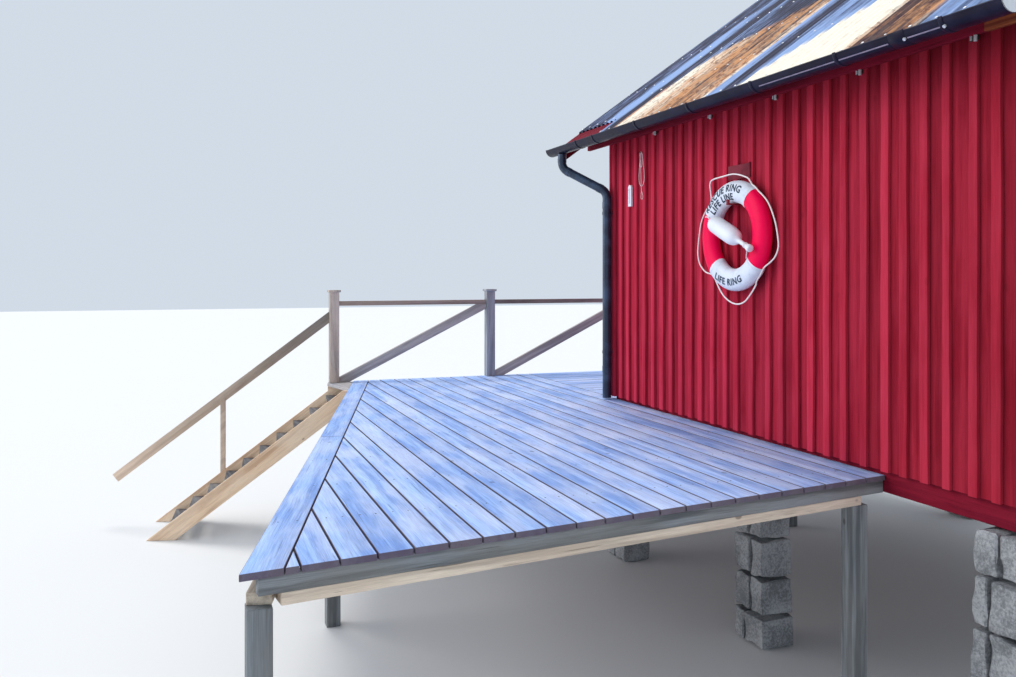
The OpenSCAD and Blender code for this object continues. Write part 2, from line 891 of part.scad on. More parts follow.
stair_slope = tan(stair_pitch);
stair_rise = deck_top / (tread_count + 1);
stair_going = stair_rise / stair_slope;
stringer_rise = stringer_depth / cos(stair_pitch);
near_stringer = stair_width - stringer_thickness;
head_board_depth = post_reach + post_side * 0.64;
head_board_side = post_side * 0.4;

module along_stair(x0, width, outline) {
    translate([x0, 0, 0]) rotate([90, 0, 90]) linear_extrude(width) polygon(outline);
}

// Level distance from the deck's edge to the slope, which grows towards the lake corner
function slope_start(x) = stair_set_out + (stair_width - x) * tan(stair_skew);

// Height of a stringer's top edge at a distance from the deck
function stringer_top(x0, y) = deck_top - (y - slope_start(x0)) * stair_slope;

// A stringer with a level head at a height and of a length, below which it follows the slope
module stringer(x0, head, level) {
    foot = slope_start(x0) + deck_top / stair_slope;
    low = stringer_top(x0, seat) - stringer_rise;
    along_stair(x0, stringer_thickness, [
        [seat, head], [level, head], [level, stringer_top(x0, level)],
        [foot, 0], [foot - stringer_rise / stair_slope, 0], [seat, low]
    ]);
}

// The far stringer's head carries the board under the first post
module stair_stringers() {
    color(new_wood) at_stair() {
        stringer(0, deck_board_bottom, head_board_depth);
        stringer(near_stringer, deck_top, stair_set_out - seat);
    }
}

// Treads, and the board at the stair's head that runs out from the deck's edge under the first post
module stair_treads() {
    far_nose = slope_start(stringer_thickness) - nose_cover;
    near_nose = slope_start(near_stringer) - nose_cover;
    color(new_wood) at_stair() {
        for (i = [1 : tread_count])
            translate([0, i * stair_going, deck_top - i * stair_rise - tread_thickness])
                linear_extrude(tread_thickness) polygon([
                    [stringer_thickness, far_nose - tread_depth], [near_stringer, near_nose - tread_depth],
                    [near_stringer, near_nose], [stringer_thickness, far_nose]
                ]);
        translate([0, 0, deck_board_bottom]) linear_extrude(deck_board_thickness) polygon([
            [-head_board_side, seat], [-head_board_side, head_board_depth],
            [post_side, head_board_depth], [head_board_length, seat]
        ]);
    }
}

handrail_slope = tan(handrail_pitch);
handrail_tall = handrail_depth / cos(handrail_pitch);

// Height of the handrail's underside at a distance from the deck
function handrail_under(y) = deck_top + handrail_height - handrail_tall / 2
    + (post_reach + post_side / 2 - y) * handrail_slope;

// The newel laps the lower half of the handrail
module handrail_and_newel() {
    newel_end = newel_reach + stringer_thickness;
    lap = handrail_tall / 2;
    heel = handrail_reach - handrail_depth * sin(handrail_pitch);
    along_stair(handrail_inset, handrail_thickness, [
        [post_reach, handrail_under(post_reach)], [heel, handrail_under(heel)],
        [handrail_reach, handrail_under(heel) + handrail_depth * cos(handrail_pitch)],
        [post_reach, handrail_under(post_reach) + handrail_tall]
    ]);
    along_stair(0, stringer_thickness, [
        [newel_reach, stringer_top(0, newel_reach)], [newel_end, stringer_top(0, newel_end)],
        [newel_end, handrail_under(newel_end) + lap], [newel_reach, handrail_under(newel_reach) + lap]
    ]);
}

module stair_handrail() {
    hole = post_side + 2 * seat;
    color(new_wood) difference() {
        at_stair() handrail_and_newel();
        placed() translate([head_post[0] - hole / 2, head_post[1] - hole / 2, deck_top])
            cube([hole, hole, post_height]);
    }
}

// Lifebuoy, hanging on its hook against the battens
buoy_y = -seat - buoy_section_depth / 2;
buoy_z = deck_top + buoy_height;
ring_radius = (buoy_diameter - buoy_section_width) / 2;
ring_steps = 28;

module lifebuoy_ring() {
    color([0.85, 0.15, 0.25]) placed()
        translate([buoy_x, buoy_y, buoy_z]) rotate([90, 0, 0])
            rotate_extrude() translate([ring_radius, 0]) polygon([
                for (i = [0 : ring_steps - 1])
                    [
                        cos(i * 360 / ring_steps) * buoy_section_width / 2,
                        sin(i * 360 / ring_steps) * buoy_section_depth / 2
                    ]
            ]);
}

// The float lies in the ring's hole, its flared end on the front of the ring's right side
float_radius = float_diameter / 2;
flare_radius = float_radius / 2;
float_y = buoy_y - buoy_section_depth / 2 - flare_radius - seat;

module lifebuoy_float() {
    r = float_radius;
    body = float_length * 0.68;
    color(white) placed() translate([buoy_x + float_shift, float_y, buoy_z])
        rotate([0, float_tilt, 0]) translate([-float_length / 2, 0, 0])
        rotate([0, 90, 0]) rotate_extrude() polygon([
            [0, 0], [r * 0.35, 0], [r * 0.75, r * 0.14], [r * 0.94, r * 0.42], [r, r * 0.85],
            [r, body * 0.82], [r * 0.93, body * 0.91], [r * 0.7, body * 0.98],
            [r * 0.25, body * 1.02], [r * 0.25, float_length * 0.88],
            [flare_radius, float_length * 0.94], [flare_radius, float_length * 0.98],
            [flare_radius * 0.8, float_length], [0, float_length]
        ]);
}

// The grab line runs round the ring's rim and stands off it in four loops between its bands
grab_radius = grab_line_diameter / 2;
grab_route = [
    [147, 7], [139, 13], [134, 54], [130, 106], [125, 113], [111, 65], [92, 39], [72, 23], [65, 10], [61, 0],
    [54.5, 1], [48, 0], [41, 9], [32, 24], [22, 37], [8, 57], [-6, 82], [-13, 87], [-20, 69], [-26, 39],
    [-35, 1], [-43, 1], [-52, 4], [-56, 21], [-67, 46], [-77, 72], [-87, 80], [-97, 72], [-108, 54], [-118, 30],
    [-129, 6], [-134, 2], [-139, 14], [-147, 63], [-156, 97], [-163, 105], [-171, 95], [-191, 64], [-201, 48],
    [-211, 25]
];
grab_sides = 8;
grab_rings = 78;

function on_route(t) =
    let (
        n = len(grab_route),
        i = floor(t),
        f = t - i,
        a = route_point(i - 1),
        b = route_point(i),
        c = route_point(i + 1),
        d = route_point(i + 2)
    )
    0.5 * (2 * b + (c - a) * f + (2 * a - 5 * b + 4 * c - d) * f * f + (3 * b - a - 3 * c + d) * f * f * f);

// A point of the route in the ring's own plane: X to the right, Z up
function route_point(i) =
    let (
        p = grab_route[min(max(i, 0), len(grab_route) - 1)],
        reach = buoy_diameter / 2 + grab_radius + seat + p[1]
    )
    [reach * cos(p[0]), reach * sin(p[0])];

module grab_line() {
    last = len(grab_route) - 1;
    middles = [for (k = [0 : grab_rings]) on_route(min(k * last / grab_rings, last - 0.0001))];
    tangents = [
        for (k = [0 : grab_rings])
            let (d = middles[min(k + 1, grab_rings)] - middles[max(k - 1, 0)]) d / norm(d)
    ];
    points = [
        for (k = [0 : grab_rings], j = [0 : grab_sides - 1])
            let (
                a = j * 360 / grab_sides,
                out = grab_radius * cos(a)
            )
            [middles[k][0] + tangents[k][1] * out, grab_radius * sin(a), middles[k][1] - tangents[k][0] * out]
    ];
    walls = [
        for (k = [0 : grab_rings - 1], j = [0 : grab_sides - 1])
            let (
                a = k * grab_sides + j,
                b = k * grab_sides + (j + 1) % grab_sides
            )
            [a, b, b + grab_sides, a + grab_sides]
    ];
    start = [for (j = [grab_sides - 1 : -1 : 0]) j];
    end = [for (j = [0 : grab_sides - 1]) grab_rings * grab_sides + j];
    color(white) placed() translate([buoy_x, buoy_y, buoy_z])
        polyhedron(points, concat([start], walls, [end]));
}

// Hook under the ring's top, and the nail of the hank
hook_bar = 12;
nail_radius = 3;
nail_length = 45;
hank_depth = 16;

module wall_hooks() {
    top = buoy_z + ring_radius - buoy_section_width / 2 - seat;
    reach = buoy_section_depth + 2 * seat;
    color(dark_metal) placed() {
        translate([buoy_x - hook_bar, 0, top - hook_bar]) {
            translate([0, -reach - hook_bar, 0]) cube([2 * hook_bar, reach + hook_bar, hook_bar]);
            translate([0, -reach - hook_bar, 0]) cube([2 * hook_bar, hook_bar, 3 * hook_bar]);
        }
        translate([hank_x, 0, deck_top + hank_height]) rotate([90, 0, 0])
            cylinder(r = nail_radius, h = nail_length);
    }
}

// Thin cord tied up in a hank, which hangs on its nail: a narrow loop, a wide loop and a loose end
module cord_hank() {
    half = hank_width / 2;
    loop = nail_radius + 2 * seat;
    side = [
        [0.2, 10 / hank_length], [0.3, -0.02], [0.5, -0.2], [0.3, -0.34], [0.75, -0.52], [1, -0.72],
        [0.9, -0.88], [0.5, -0.98], [0.16, -1], [0.16, -1.44]
    ];
    outline = concat(
        [for (p = side) [half * p[0], hank_length * p[1]]],
        [for (i = [len(side) - 1 : -1 : 0]) [-half * side[i][0], hank_length * side[i][1]]]
    );
    color(white) placed() translate([hank_x, -seat, deck_top + hank_height]) rotate([90, 0, 0])
        linear_extrude(hank_depth) difference() {
            polygon(outline);
            circle(loop);
        }
}

// Thermometer with a round head
module thermometer() {
    half = thermometer_length * 0.14;
    color(white) placed()
        translate([thermometer_x, 0, deck_top + thermometer_height - thermometer_length / 2])
        rotate([90, 0, 0]) linear_extrude(thermometer_thickness) {
            translate([-half, 0]) square([2 * half, thermometer_length * 0.75]);
            translate([0, thermometer_length - half]) circle(half);
        }
}

stone_piers();
sill_frame();
front_wall();
back_wall();
land_gable_wall();
lake_gable_left();
lake_gable_right();
lake_gable_top();
door_frame();
door_leaves();
front_rafters();
back_rafters();
ridge_board();
front_boarding();
back_boarding();
fascia_boards();
barge_boards();
front_sheet(1);  // front_sheet_1
front_sheet(2);  // front_sheet_2
front_sheet(3);  // front_sheet_3
front_sheet(4);  // front_sheet_4
front_sheet(5);  // front_sheet_5
front_sheet(6);  // front_sheet_6
back_sheets();
ridge_cap();
gutters();
gutter_brackets();
downpipes();
side_deck();
lake_deck();
deck_border();
deck_joists();
deck_beams();
deck_legs();
rail_posts();
top_rails();
rail_braces();
stair_stringers();
stair_treads();
stair_handrail();
lifebuoy_ring();
lifebuoy_float();
grab_line();
wall_hooks();
cord_hank();
thermometer();
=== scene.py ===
"""Looks of a small board-and-batten boathouse with a timber deck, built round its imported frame."""

import logging
import math
import random
from dataclasses import dataclass, field
from enum import Enum
from typing import Callable, Iterable, Optional, Sequence, Union

import bmesh
import bpy
from mathutils import Matrix, Vector


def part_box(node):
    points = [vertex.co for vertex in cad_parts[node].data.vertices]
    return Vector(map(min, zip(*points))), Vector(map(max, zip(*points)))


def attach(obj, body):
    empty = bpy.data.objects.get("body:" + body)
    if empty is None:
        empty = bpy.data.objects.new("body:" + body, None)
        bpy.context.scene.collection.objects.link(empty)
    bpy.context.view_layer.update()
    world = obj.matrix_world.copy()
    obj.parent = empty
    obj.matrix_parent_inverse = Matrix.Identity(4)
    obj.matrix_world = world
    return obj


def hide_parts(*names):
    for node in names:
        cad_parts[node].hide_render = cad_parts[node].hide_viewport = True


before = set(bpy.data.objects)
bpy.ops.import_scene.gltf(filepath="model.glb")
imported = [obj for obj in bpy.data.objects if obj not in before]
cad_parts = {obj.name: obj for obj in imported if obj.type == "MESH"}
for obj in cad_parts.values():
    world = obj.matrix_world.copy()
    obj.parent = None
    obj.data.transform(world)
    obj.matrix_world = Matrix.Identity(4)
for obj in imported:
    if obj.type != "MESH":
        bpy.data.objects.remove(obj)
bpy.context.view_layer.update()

log = logging.getLogger("boathouse")

Rgb = tuple[float, float, float]
Point2 = tuple[float, float]
Point3 = tuple[float, float, float]
Mesh = bpy.types.Mesh
Operand = Union["Value", float, tuple]
Builder = Callable[[str], bpy.types.NodeTree]

WALL_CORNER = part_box("front_wall")[0]
ROOT = "root"
ALONG, ACROSS, UP = Vector((1, 0, 0)), Vector((0, 1, 0)), Vector((0, 0, 1))


# The site: named sizes of the building, in metres


def site(x: float, y: float, z: float) -> Vector:
    """Turns a point measured from the wall's lake corner, and up from the water, into the row's frame."""
    return Vector((x + WALL_CORNER.x, y + WALL_CORNER.y, z))


def within(value: float) -> float:
    """Keeps a share between 0 and 1."""
    return min(max(value, 0.0), 1.0)


@dataclass(frozen=True)
class House:
    """Main sizes of the house, as in the frame's walls and roof."""

    length: float = 4.16
    width: float = 4.0
    thickness: float = 0.14
    cladding: float = 0.044
    deck_top: float = 1.34
    wall_bottom: float = 1.365
    eaves_top: float = 3.756
    pitch: float = math.radians(36.0)
    lake_verge: float = 0.39
    land_verge: float = 0.19
    boarding: float = 0.022
    overhang: float = 0.25
    trim: float = 0.022
    wave_depth: float = 0.016
    doorway: Point2 = (1.28, 2.72)
    door_head: float = 3.385

    @property
    def ridge_y(self) -> float:
        """Distance of the ridge from the deck-side wall."""
        return self.width / 2

    @property
    def slope(self) -> float:
        """Rise of the roof over a level metre."""
        return math.tan(self.pitch)

    def under_roof(self, y: float) -> float:
        """Height of a wall's core under the roof, at a distance from the deck-side wall."""
        return self.eaves_top + min(y, self.width - y) * self.slope - 0.001

    def on_slope(self, x: float, along: float, lift: float, back: bool = False) -> Vector:
        """Gives a point over a slope of the roof.

        Args:
            x: Distance along the building.
            along: Distance up the slope from the wall's outer face.
            lift: Distance square to the slope, from the underside of its boards.
            back: Whether it is the slope away from the deck.

        Returns:
            The point in the row's frame.
        """
        y = along * math.cos(self.pitch) - lift * math.sin(self.pitch)
        z = self.eaves_top + along * math.sin(self.pitch) + lift * math.cos(self.pitch)
        return site(x, self.width - y if back else y, z)


HOUSE = House()


# Node trees


class Value:
    """An output socket that adds, subtracts, multiplies and divides like a number."""

    def __init__(self, graph: "Graph", socket: bpy.types.NodeSocket) -> None:
        """Takes the socket and the graph that it is in."""
        self.graph = graph
        self.socket = socket

    def __add__(self, other: Operand) -> "Value":
        """Adds a value or a number."""
        return self.graph.math("ADD", self, other)

    def __sub__(self, other: Operand) -> "Value":
        """Subtracts a value or a number."""
        return self.graph.math("SUBTRACT", self, other)

    def __mul__(self, other: Operand) -> "Value":
        """Multiplies by a value or a number."""
        return self.graph.math("MULTIPLY", self, other)

    def __truediv__(self, other: Operand) -> "Value":
        """Divides by a value or a number."""
        return self.graph.math("DIVIDE", self, other)


class Graph:
    """Short ways to add and join nodes in a shader or geometry tree."""

    def __init__(self, tree: bpy.types.NodeTree) -> None:
        """Takes the tree that the nodes go into."""
        self.tree = tree
        self.column = 0

    def add(self, kind: str, inputs: Optional[dict] = None, **settings: object) -> bpy.types.Node:
        """Adds a node.

        Args:
            kind: The node's type name.
            inputs: What feeds its sockets, by their names or numbers.
            **settings: Properties of the node itself.

        Returns:
            The new node.
        """
        node = self.tree.nodes.new(kind)
        node.location = (self.column * 180, -40 * (self.column % 5))
        self.column += 1
        for name, value in settings.items():
            setattr(node, name, value)
        for key, value in (inputs or {}).items():
            self.feed(node.inputs[key], value)
        return node

    def feed(self, socket: bpy.types.NodeSocket, value: Operand) -> None:
        """Links a value to a socket, or sets the socket to a plain number, vector or colour.

        Args:
            socket: The input socket.
            value: What it gets.
        """
        if isinstance(value, Value):
            self.tree.links.new(value.socket, socket)
        elif isinstance(value, tuple) and socket.type == "RGBA":
            socket.default_value = (*value, 1.0)
        else:
            socket.default_value = value

    def out(
        self, kind: str, inputs: Optional[dict] = None, output: Union[int, str] = 0, **settings: object
    ) -> Value:
        """Adds a node and returns one of its outputs."""
        return Value(self, self.add(kind, inputs, **settings).outputs[output])

    def math(self, operation: str, first: Operand, second: Operand = 0.0, clamp: bool = False) -> Value:
        """Works out a sum of two numbers."""
        return self.out("ShaderNodeMath", {0: first, 1: second}, operation=operation, use_clamp=clamp)

    def combine(self, x: Operand, y: Operand, z: Operand) -> Value:
        """Makes a vector of three numbers."""
        return self.out("ShaderNodeCombineXYZ", {0: x, 1: y, 2: z})

    def plus(self, first: Value, second: Value) -> Value:
        """Adds two vectors."""
        return self.out("ShaderNodeVectorMath", {0: first, 1: second}, operation="ADD")

    def mix(self, share: Operand, first: Operand, second: Operand, blend: str = "MIX") -> Value:
        """Mixes two colours."""
        colours = {0: share, 6: first, 7: second}
        return self.out("ShaderNodeMix", colours, 2, data_type="RGBA", blend_type=blend, clamp_factor=True)

    def grey(self, level: Value) -> Value:
        """Makes a grey colour of a number."""
        return self.out("ShaderNodeCombineColor", {0: level, 1: level, 2: level})

    def noise(self, vector: Value, scale: Operand, detail: float = 3.0, rough: float = 0.5) -> Value:
        """Gives soft noise of about 0.3 to 0.7."""
        inputs = {"Vector": vector, "Scale": scale, "Detail": detail, "Roughness": rough}
        return self.out("ShaderNodeTexNoise", inputs, noise_dimensions="3D")

    def stretch(self, vector: Value, scale: Point3, turn: Point3 = (0.0, 0.0, 0.0)) -> Value:
        """Turns and scales texture coordinates."""
        return self.out("ShaderNodeMapping", {"Vector": vector, "Rotation": turn, "Scale": scale})

    def grain(self, vector: Value, scale: Point3, detail: float = 3.0, rough: float = 0.5) -> Value:
        """Gives noise with its own scale on each axis."""
        return self.noise(self.stretch(vector, scale), 1.0, detail, rough)

    def span(self, value: Value, low: float, high: float, to_low: float = 0.0, to_high: float = 1.0) -> Value:
        """Maps a range of values to another, smoothly and clamped."""
        inputs = dict(enumerate((value, low, high, to_low, to_high)))
        return self.out("ShaderNodeMapRange", inputs, interpolation_type="SMOOTHSTEP")

    def bump(self, height: Value, distance: float, strength: float) -> Value:
        """Makes a normal of a height."""
        return self.out("ShaderNodeBump", {"Height": height, "Distance": distance, "Strength": strength})

    def attribute(self, name: str, output: str = "Fac") -> Value:
        """Reads a mesh attribute."""
        return self.out("ShaderNodeAttribute", output=output, attribute_name=name)

    def place(self) -> Value:
        """Reads the place on the object."""
        return self.out("ShaderNodeTexCoord", output="Object")

    def effect(self, build: Builder, inputs: dict[str, Operand]) -> dict[str, Value]:
        """Places a shared effect in a material.

        Args:
            build: Makes the effect's group on its first use, under the function's own name.
            inputs: What feeds the group, by its sockets' names.

        Returns:
            The effect's outputs by name.
        """
        name = build.__name__
        tree = bpy.data.node_groups.get(name) or build(name)
        node = self.add("ShaderNodeGroup", inputs, node_tree=tree)
        return {socket.name: Value(self, socket) for socket in node.outputs}


class Group:
    """A node group in the making, with named inputs and outputs."""

    def __init__(self, name: str, kind: str, inputs: dict[str, str], outputs: dict[str, str]) -> None:
        """Starts the group.

        Args:
            name: The group's name.
            kind: The tree's type name.
            inputs: Kinds of its input sockets by name.
            outputs: Kinds of its output sockets by name.
        """
        self.tree = bpy.data.node_groups.new(name, kind)
        for sockets, way in ((inputs, "INPUT"), (outputs, "OUTPUT")):
            for label, socket in sockets.items():
                self.tree.interface.new_socket(label, in_out=way, socket_type="NodeSocket" + socket)
        self.graph = Graph(self.tree)
        self.source = self.graph.add("NodeGroupInput")

    def given(self, label: str) -> Value:
        """Returns a named input."""
        return Value(self.graph, self.source.outputs[label])

    def end(self, results: dict[str, Value]) -> bpy.types.NodeTree:
        """Feeds the group's outputs by name and returns its tree."""
        self.graph.add("NodeGroupOutput", results)
        return self.tree


def timber_figure(name: str) -> bpy.types.NodeTree:
    """Makes the figure of sawn timber: streaks, fine grain, knots, cracks and patches, as masks.

    Args:
        name: The group's name.

    Returns:
        The group. Its vector runs along the grain in X, in metres.
    """
    masks = dict.fromkeys(("Streak", "Fine", "Knot", "Crack", "Patch"), "Float")
    group = Group(name, "ShaderNodeTree", {"Vector": "Vector"}, masks)
    graph, vector = group.graph, group.given("Vector")
    wander = graph.grain(vector, (1.6, 5.0, 5.0), 2.0)
    bent = graph.plus(vector, graph.combine(0.0, wander * 0.03, 0.0))
    near_knot = graph.out(
        "ShaderNodeTexVoronoi", {"Vector": graph.stretch(vector, (3.4, 5.5, 5.5)), "Scale": 1.0}, "Distance",
        feature="F1",
    )
    return group.end({
        "Streak": graph.span(graph.grain(bent, (0.8, 20.0, 20.0), 4.0, 0.62), 0.38, 0.62),
        "Fine": graph.span(graph.grain(bent, (7.0, 420.0, 420.0), 2.0, 0.6), 0.3, 0.7),
        "Knot": graph.span(near_knot, 0.09, 0.05),
        "Crack": graph.span(graph.grain(bent, (2.2, 150.0, 150.0), 1.0), 0.7, 0.76),
        "Patch": graph.span(graph.grain(vector, (2.0, 5.0, 5.0), 3.0, 0.55), 0.35, 0.65),
    })


def uneven_coat(name: str) -> bpy.types.NodeTree:
    """Makes the unevenness of a coat or moulding, as broad and fine noise.

    Args:
        name: The group's name.

    Returns:
        The group.
    """
    scales = {"Broad Scale": "Float", "Fine Scale": "Float"}
    group = Group(name, "ShaderNodeTree", scales, {"Broad": "Float", "Fine": "Float"})
    graph = group.graph
    place = graph.place()
    return group.end({
        "Broad": graph.noise(place, group.given("Broad Scale"), 4.0, 0.6),
        "Fine": graph.noise(place, group.given("Fine Scale"), 3.0, 0.6),
    })


# Finishes


@dataclass(frozen=True)
class Finish:
    """A surface finish, made once and shared by the pieces that have it, with a slot name."""

    name: str
    slot: str

    def material(self) -> bpy.types.Material:
        """Makes the finish's material on its first use.

        Returns:
            The material.
        """
        name = self.name + "_finish"
        made = bpy.data.materials.get(name)
        if not made:
            made = bpy.data.materials.new(name)
            made.use_nodes = True
            graph = Graph(made.node_tree)
            shader = made.node_tree.nodes["Principled BSDF"]
            for socket, value in self.paint(graph).items():
                graph.feed(shader.inputs[socket], value)
        return made

    def paint(self, graph: Graph) -> dict[str, Operand]:
        """Gives what feeds the shader's sockets. Each finish has its own way."""
        raise NotImplementedError


@dataclass(frozen=True)
class Timber(Finish):
    """Bare or painted sawn timber, with its grain along each piece."""

    light: Rgb
    dark: Rgb
    knot: Rgb
    stain: Rgb
    stain_share: float = 0.4
    knot_share: float = 0.6
    crack_share: float = 0.5
    fine_share: float = 0.2
    tone_spread: float = 0.3
    warmth: float = 0.0
    roughness: float = 0.8
    relief: float = 0.0012
    shine: float = 0.25
    grime: Rgb = (0.1, 0.07, 0.06)

    def paint(self, graph: Graph) -> dict[str, Operand]:
        """Lays streaks, patches, knots, cracks, grime and painted shade over the two timber colours.

        Args:
            graph: Adds nodes to the material.

        Returns:
            What feeds the shader's sockets, by their names.
        """
        figure = graph.effect(timber_figure, {"Vector": graph.attribute("figure", "Vector")})
        streak, fine, crack = figure["Streak"], figure["Fine"], figure["Crack"] * self.crack_share
        colour = graph.mix(streak, self.dark, self.light)
        colour = graph.mix(figure["Patch"] * self.stain_share, colour, self.stain)
        colour = graph.mix(1.0, colour, graph.grey((fine - 0.5) * self.fine_share + 1.0), "MULTIPLY")
        half, lean = self.tone_spread / 2, self.warmth / 2
        cool = (1 - half - lean, 1 - half, 1 - half + lean)
        warm = (1 + half + lean, 1 + half, 1 + half - lean)
        colour = graph.mix(1.0, colour, graph.mix(graph.attribute("tone"), cool, warm), "MULTIPLY")
        colour = graph.mix(figure["Knot"] * self.knot_share, colour, self.knot)
        colour = graph.mix(crack, colour, self.knot)
        # The last mix lays dirt and painted shade: painted shade under the eaves of the deck-side wall and in
        # the deck's gaps, and dirt on the deck boards' ends.
        return {
            "Base Color": graph.mix(graph.attribute("grime") * 0.85, colour, self.grime),
            "Roughness": fine * 0.12 + (self.roughness - 0.06),
            "Specular IOR Level": self.shine,
            "Normal": graph.bump(fine * 0.35 + streak - crack * 1.5, self.relief, 0.8),
        }


@dataclass(frozen=True)
class RustySheet(Finish):
    """Corrugated sheet whose coat has worn to rust in long streaks down the slope."""

    turn: float
    zinc: Rgb = (0.060, 0.085, 0.17)
    zinc_light: Rgb = (0.30, 0.43, 0.72)
    violet: Rgb = (0.13, 0.09, 0.17)
    cream: Rgb = (0.98, 0.90, 0.76)
    orange: Rgb = (0.66, 0.33, 0.16)
    rust: Rgb = (0.22, 0.11, 0.085)
    dark: Rgb = (0.03, 0.03, 0.055)

    def paint(self, graph: Graph) -> dict[str, Operand]:
        """Mixes zinc, cream and rust by the sheet's own share, by streaks and by grainy patches.

        Args:
            graph: Adds nodes to the material.

        Returns:
            What feeds the shader's sockets, by their names.
        """
        flat = graph.stretch(graph.place(), (1.0, 1.0, 1.0), (self.turn, 0.0, 0.0))
        tone = graph.attribute("tone")
        wide = graph.grain(flat, (2.2, 0.6, 1.0), 3.0, 0.6)
        streak = graph.grain(flat, (20.0, 1.0, 1.0), 4.0, 0.65)
        hair = graph.grain(flat, (80.0, 4.0, 1.0), 3.0, 0.6)
        blotch = graph.grain(flat, (9.0, 3.2, 1.0), 5.0, 0.68)
        mottle = graph.grain(flat, (30.0, 16.0, 1.0), 5.0, 0.68)
        lean = (tone - 0.5) * 0.5
        mixed = streak * 0.6 + blotch * 0.4 + lean
        zinc = graph.mix(graph.span(mixed, 0.36, 0.66), self.zinc, self.zinc_light)
        tint = graph.span(blotch, 0.5, 0.62) * graph.span(tone, 0.6, 0.2, 0.0, 0.55)
        zinc = graph.mix(tint, zinc, self.violet)
        bare = (hair + streak + blotch) * 0.3333 - lean
        warm = graph.mix(graph.span(bare, 0.38, 0.62), self.cream, self.orange)
        spots = graph.span(mottle, 0.50, 0.62) * graph.span(tone, 1.0, 0.45, 0.12, 0.75)
        warm = graph.mix(spots, warm, self.rust)
        level = wide * 0.4 + streak * 0.3 + mottle * 0.3 + (graph.attribute("rust") - 0.5)
        colour = graph.mix(graph.span(level, 0.40, 0.60), zinc, warm)
        return {
            "Base Color": graph.mix(graph.span(mixed, 0.485, 0.34) * 0.85, colour, self.dark),
            "Metallic": graph.span(level, 0.6, 0.35, 0.0, 0.05),
            "Specular IOR Level": 0.1,
            "Roughness": graph.span(level, 0.35, 0.65, 0.62, 0.9),
            "Normal": graph.bump(mottle + hair * 0.5, 0.0008, 0.7),
        }


@dataclass(frozen=True)
class CoatedMetal(Finish):
    """Coated or zinc-bright metal with soft wear and dust."""

    colour: Rgb
    worn: Rgb
    metallic: float = 0.2
    roughness: float = 0.42
    wear: float = 0.5
    shine: float = 0.5

    def paint(self, graph: Graph) -> dict[str, Operand]:
        """Mixes the coat and its worn tone by two scales of noise.

        Args:
            graph: Adds nodes to the material.

        Returns:
            What feeds the shader's sockets, by their names.
        """
        coat = graph.effect(uneven_coat, {"Broad Scale": 6.0, "Fine Scale": 90.0})
        speck = graph.span(coat["Fine"], 0.58, 0.7) * (self.wear * 0.5)
        share = graph.math("ADD", graph.span(coat["Broad"], 0.4, 0.65) * self.wear, speck, True)
        return {
            "Base Color": graph.mix(share, self.colour, self.worn),
            "Roughness": graph.span(share, 0.0, 1.0, self.roughness, self.roughness + 0.25),
            "Metallic": self.metallic,
            "Specular IOR Level": self.shine,
            "Normal": graph.bump(coat["Fine"], 0.0003, 0.5),
        }


@dataclass(frozen=True)
class Stone(Finish):
    """Rough grey stone."""

    light: Rgb
    dark: Rgb

    def paint(self, graph: Graph) -> dict[str, Operand]:
        """Mixes grey grains and broad patches, with a rough bump.

        Args:
            graph: Adds nodes to the material.

        Returns:
            What feeds the shader's sockets, by their names.
        """
        place = graph.place()
        broad = graph.noise(place, 5.0, 5.0, 0.6)
        grain = graph.noise(place, 70.0, 4.0, 0.7)
        return {
            "Base Color": graph.mix(graph.span(broad * 0.5 + grain * 0.5, 0.38, 0.62), self.dark, self.light),
            "Roughness": 0.9,
            "Normal": graph.bump(broad + grain * 0.3, 0.02, 0.8),
        }


@dataclass(frozen=True)
class Plastic(Finish):
    """Moulded or sewn plastic with light scuffs."""

    colour: Rgb
    grime: Rgb
    grime_share: float = 0.2
    roughness: float = 0.35
    scale: float = 14.0
    shine: float = 0.5

    def paint(self, graph: Graph) -> dict[str, Operand]:
        """Adds soft grime and a slightly uneven surface.

        Args:
            graph: Adds nodes to the material.

        Returns:
            What feeds the shader's sockets, by their names.
        """
        coat = graph.effect(uneven_coat, {"Broad Scale": self.scale, "Fine Scale": self.scale * 12.0})
        broad, fine = coat["Broad"], coat["Fine"]
        mask = graph.span(broad, 0.45, 0.75) * self.grime_share
        return {
            "Base Color": graph.mix(mask, self.colour, self.grime),
            "Roughness": graph.span(fine, 0.3, 0.7, self.roughness, self.roughness + 0.15),
            "Specular IOR Level": self.shine,
            "Normal": graph.bump(broad + fine * 0.1, 0.0006, 0.6),
        }


@dataclass(frozen=True)
class Floor(Finish):
    """Plain pale studio floor."""

    colour: Rgb = (0.82, 0.82, 0.82)
    shade: Rgb = (0.7, 0.7, 0.7)

    def paint(self, graph: Graph) -> dict[str, Operand]:
        """Sets one pale tone with very faint variation."""
        soft = graph.noise(graph.place(), 0.6, 2.0)
        return {"Base Color": graph.mix(soft * 0.05, self.colour, self.shade), "Roughness": 0.9}


# The grime colours of both red timbers serve as painted shade: the dark red under the eaves and towards the
# land end of the deck-side wall.
RED_CLADDING = Timber(
    "red_cladding", "red_cladding", (0.43, 0.023, 0.048), (0.275, 0.010, 0.026), (0.11, 0.005, 0.011),
    (0.49, 0.036, 0.072), knot_share=0.2, crack_share=0.3, roughness=0.9, shine=0.04,
    grime=(0.10, 0.005, 0.009),
)
RED_BATTEN = Timber(
    "red_battens", "red_cladding", (0.58, 0.034, 0.070), (0.43, 0.020, 0.046), (0.15, 0.007, 0.015),
    (0.63, 0.051, 0.101), 0.45, knot_share=0.2, crack_share=0.25, tone_spread=0.25, roughness=0.9, shine=0.04,
    grime=(0.15, 0.008, 0.014),
)
DARK_RED = Timber(
    "dark_red_timber", "dark_red_timber", (0.20, 0.008, 0.024), (0.11, 0.004, 0.014), (0.04, 0.002, 0.005),
    (0.24, 0.014, 0.036), 0.3, knot_share=0.3, crack_share=0.4, roughness=0.85, shine=0.08,
)
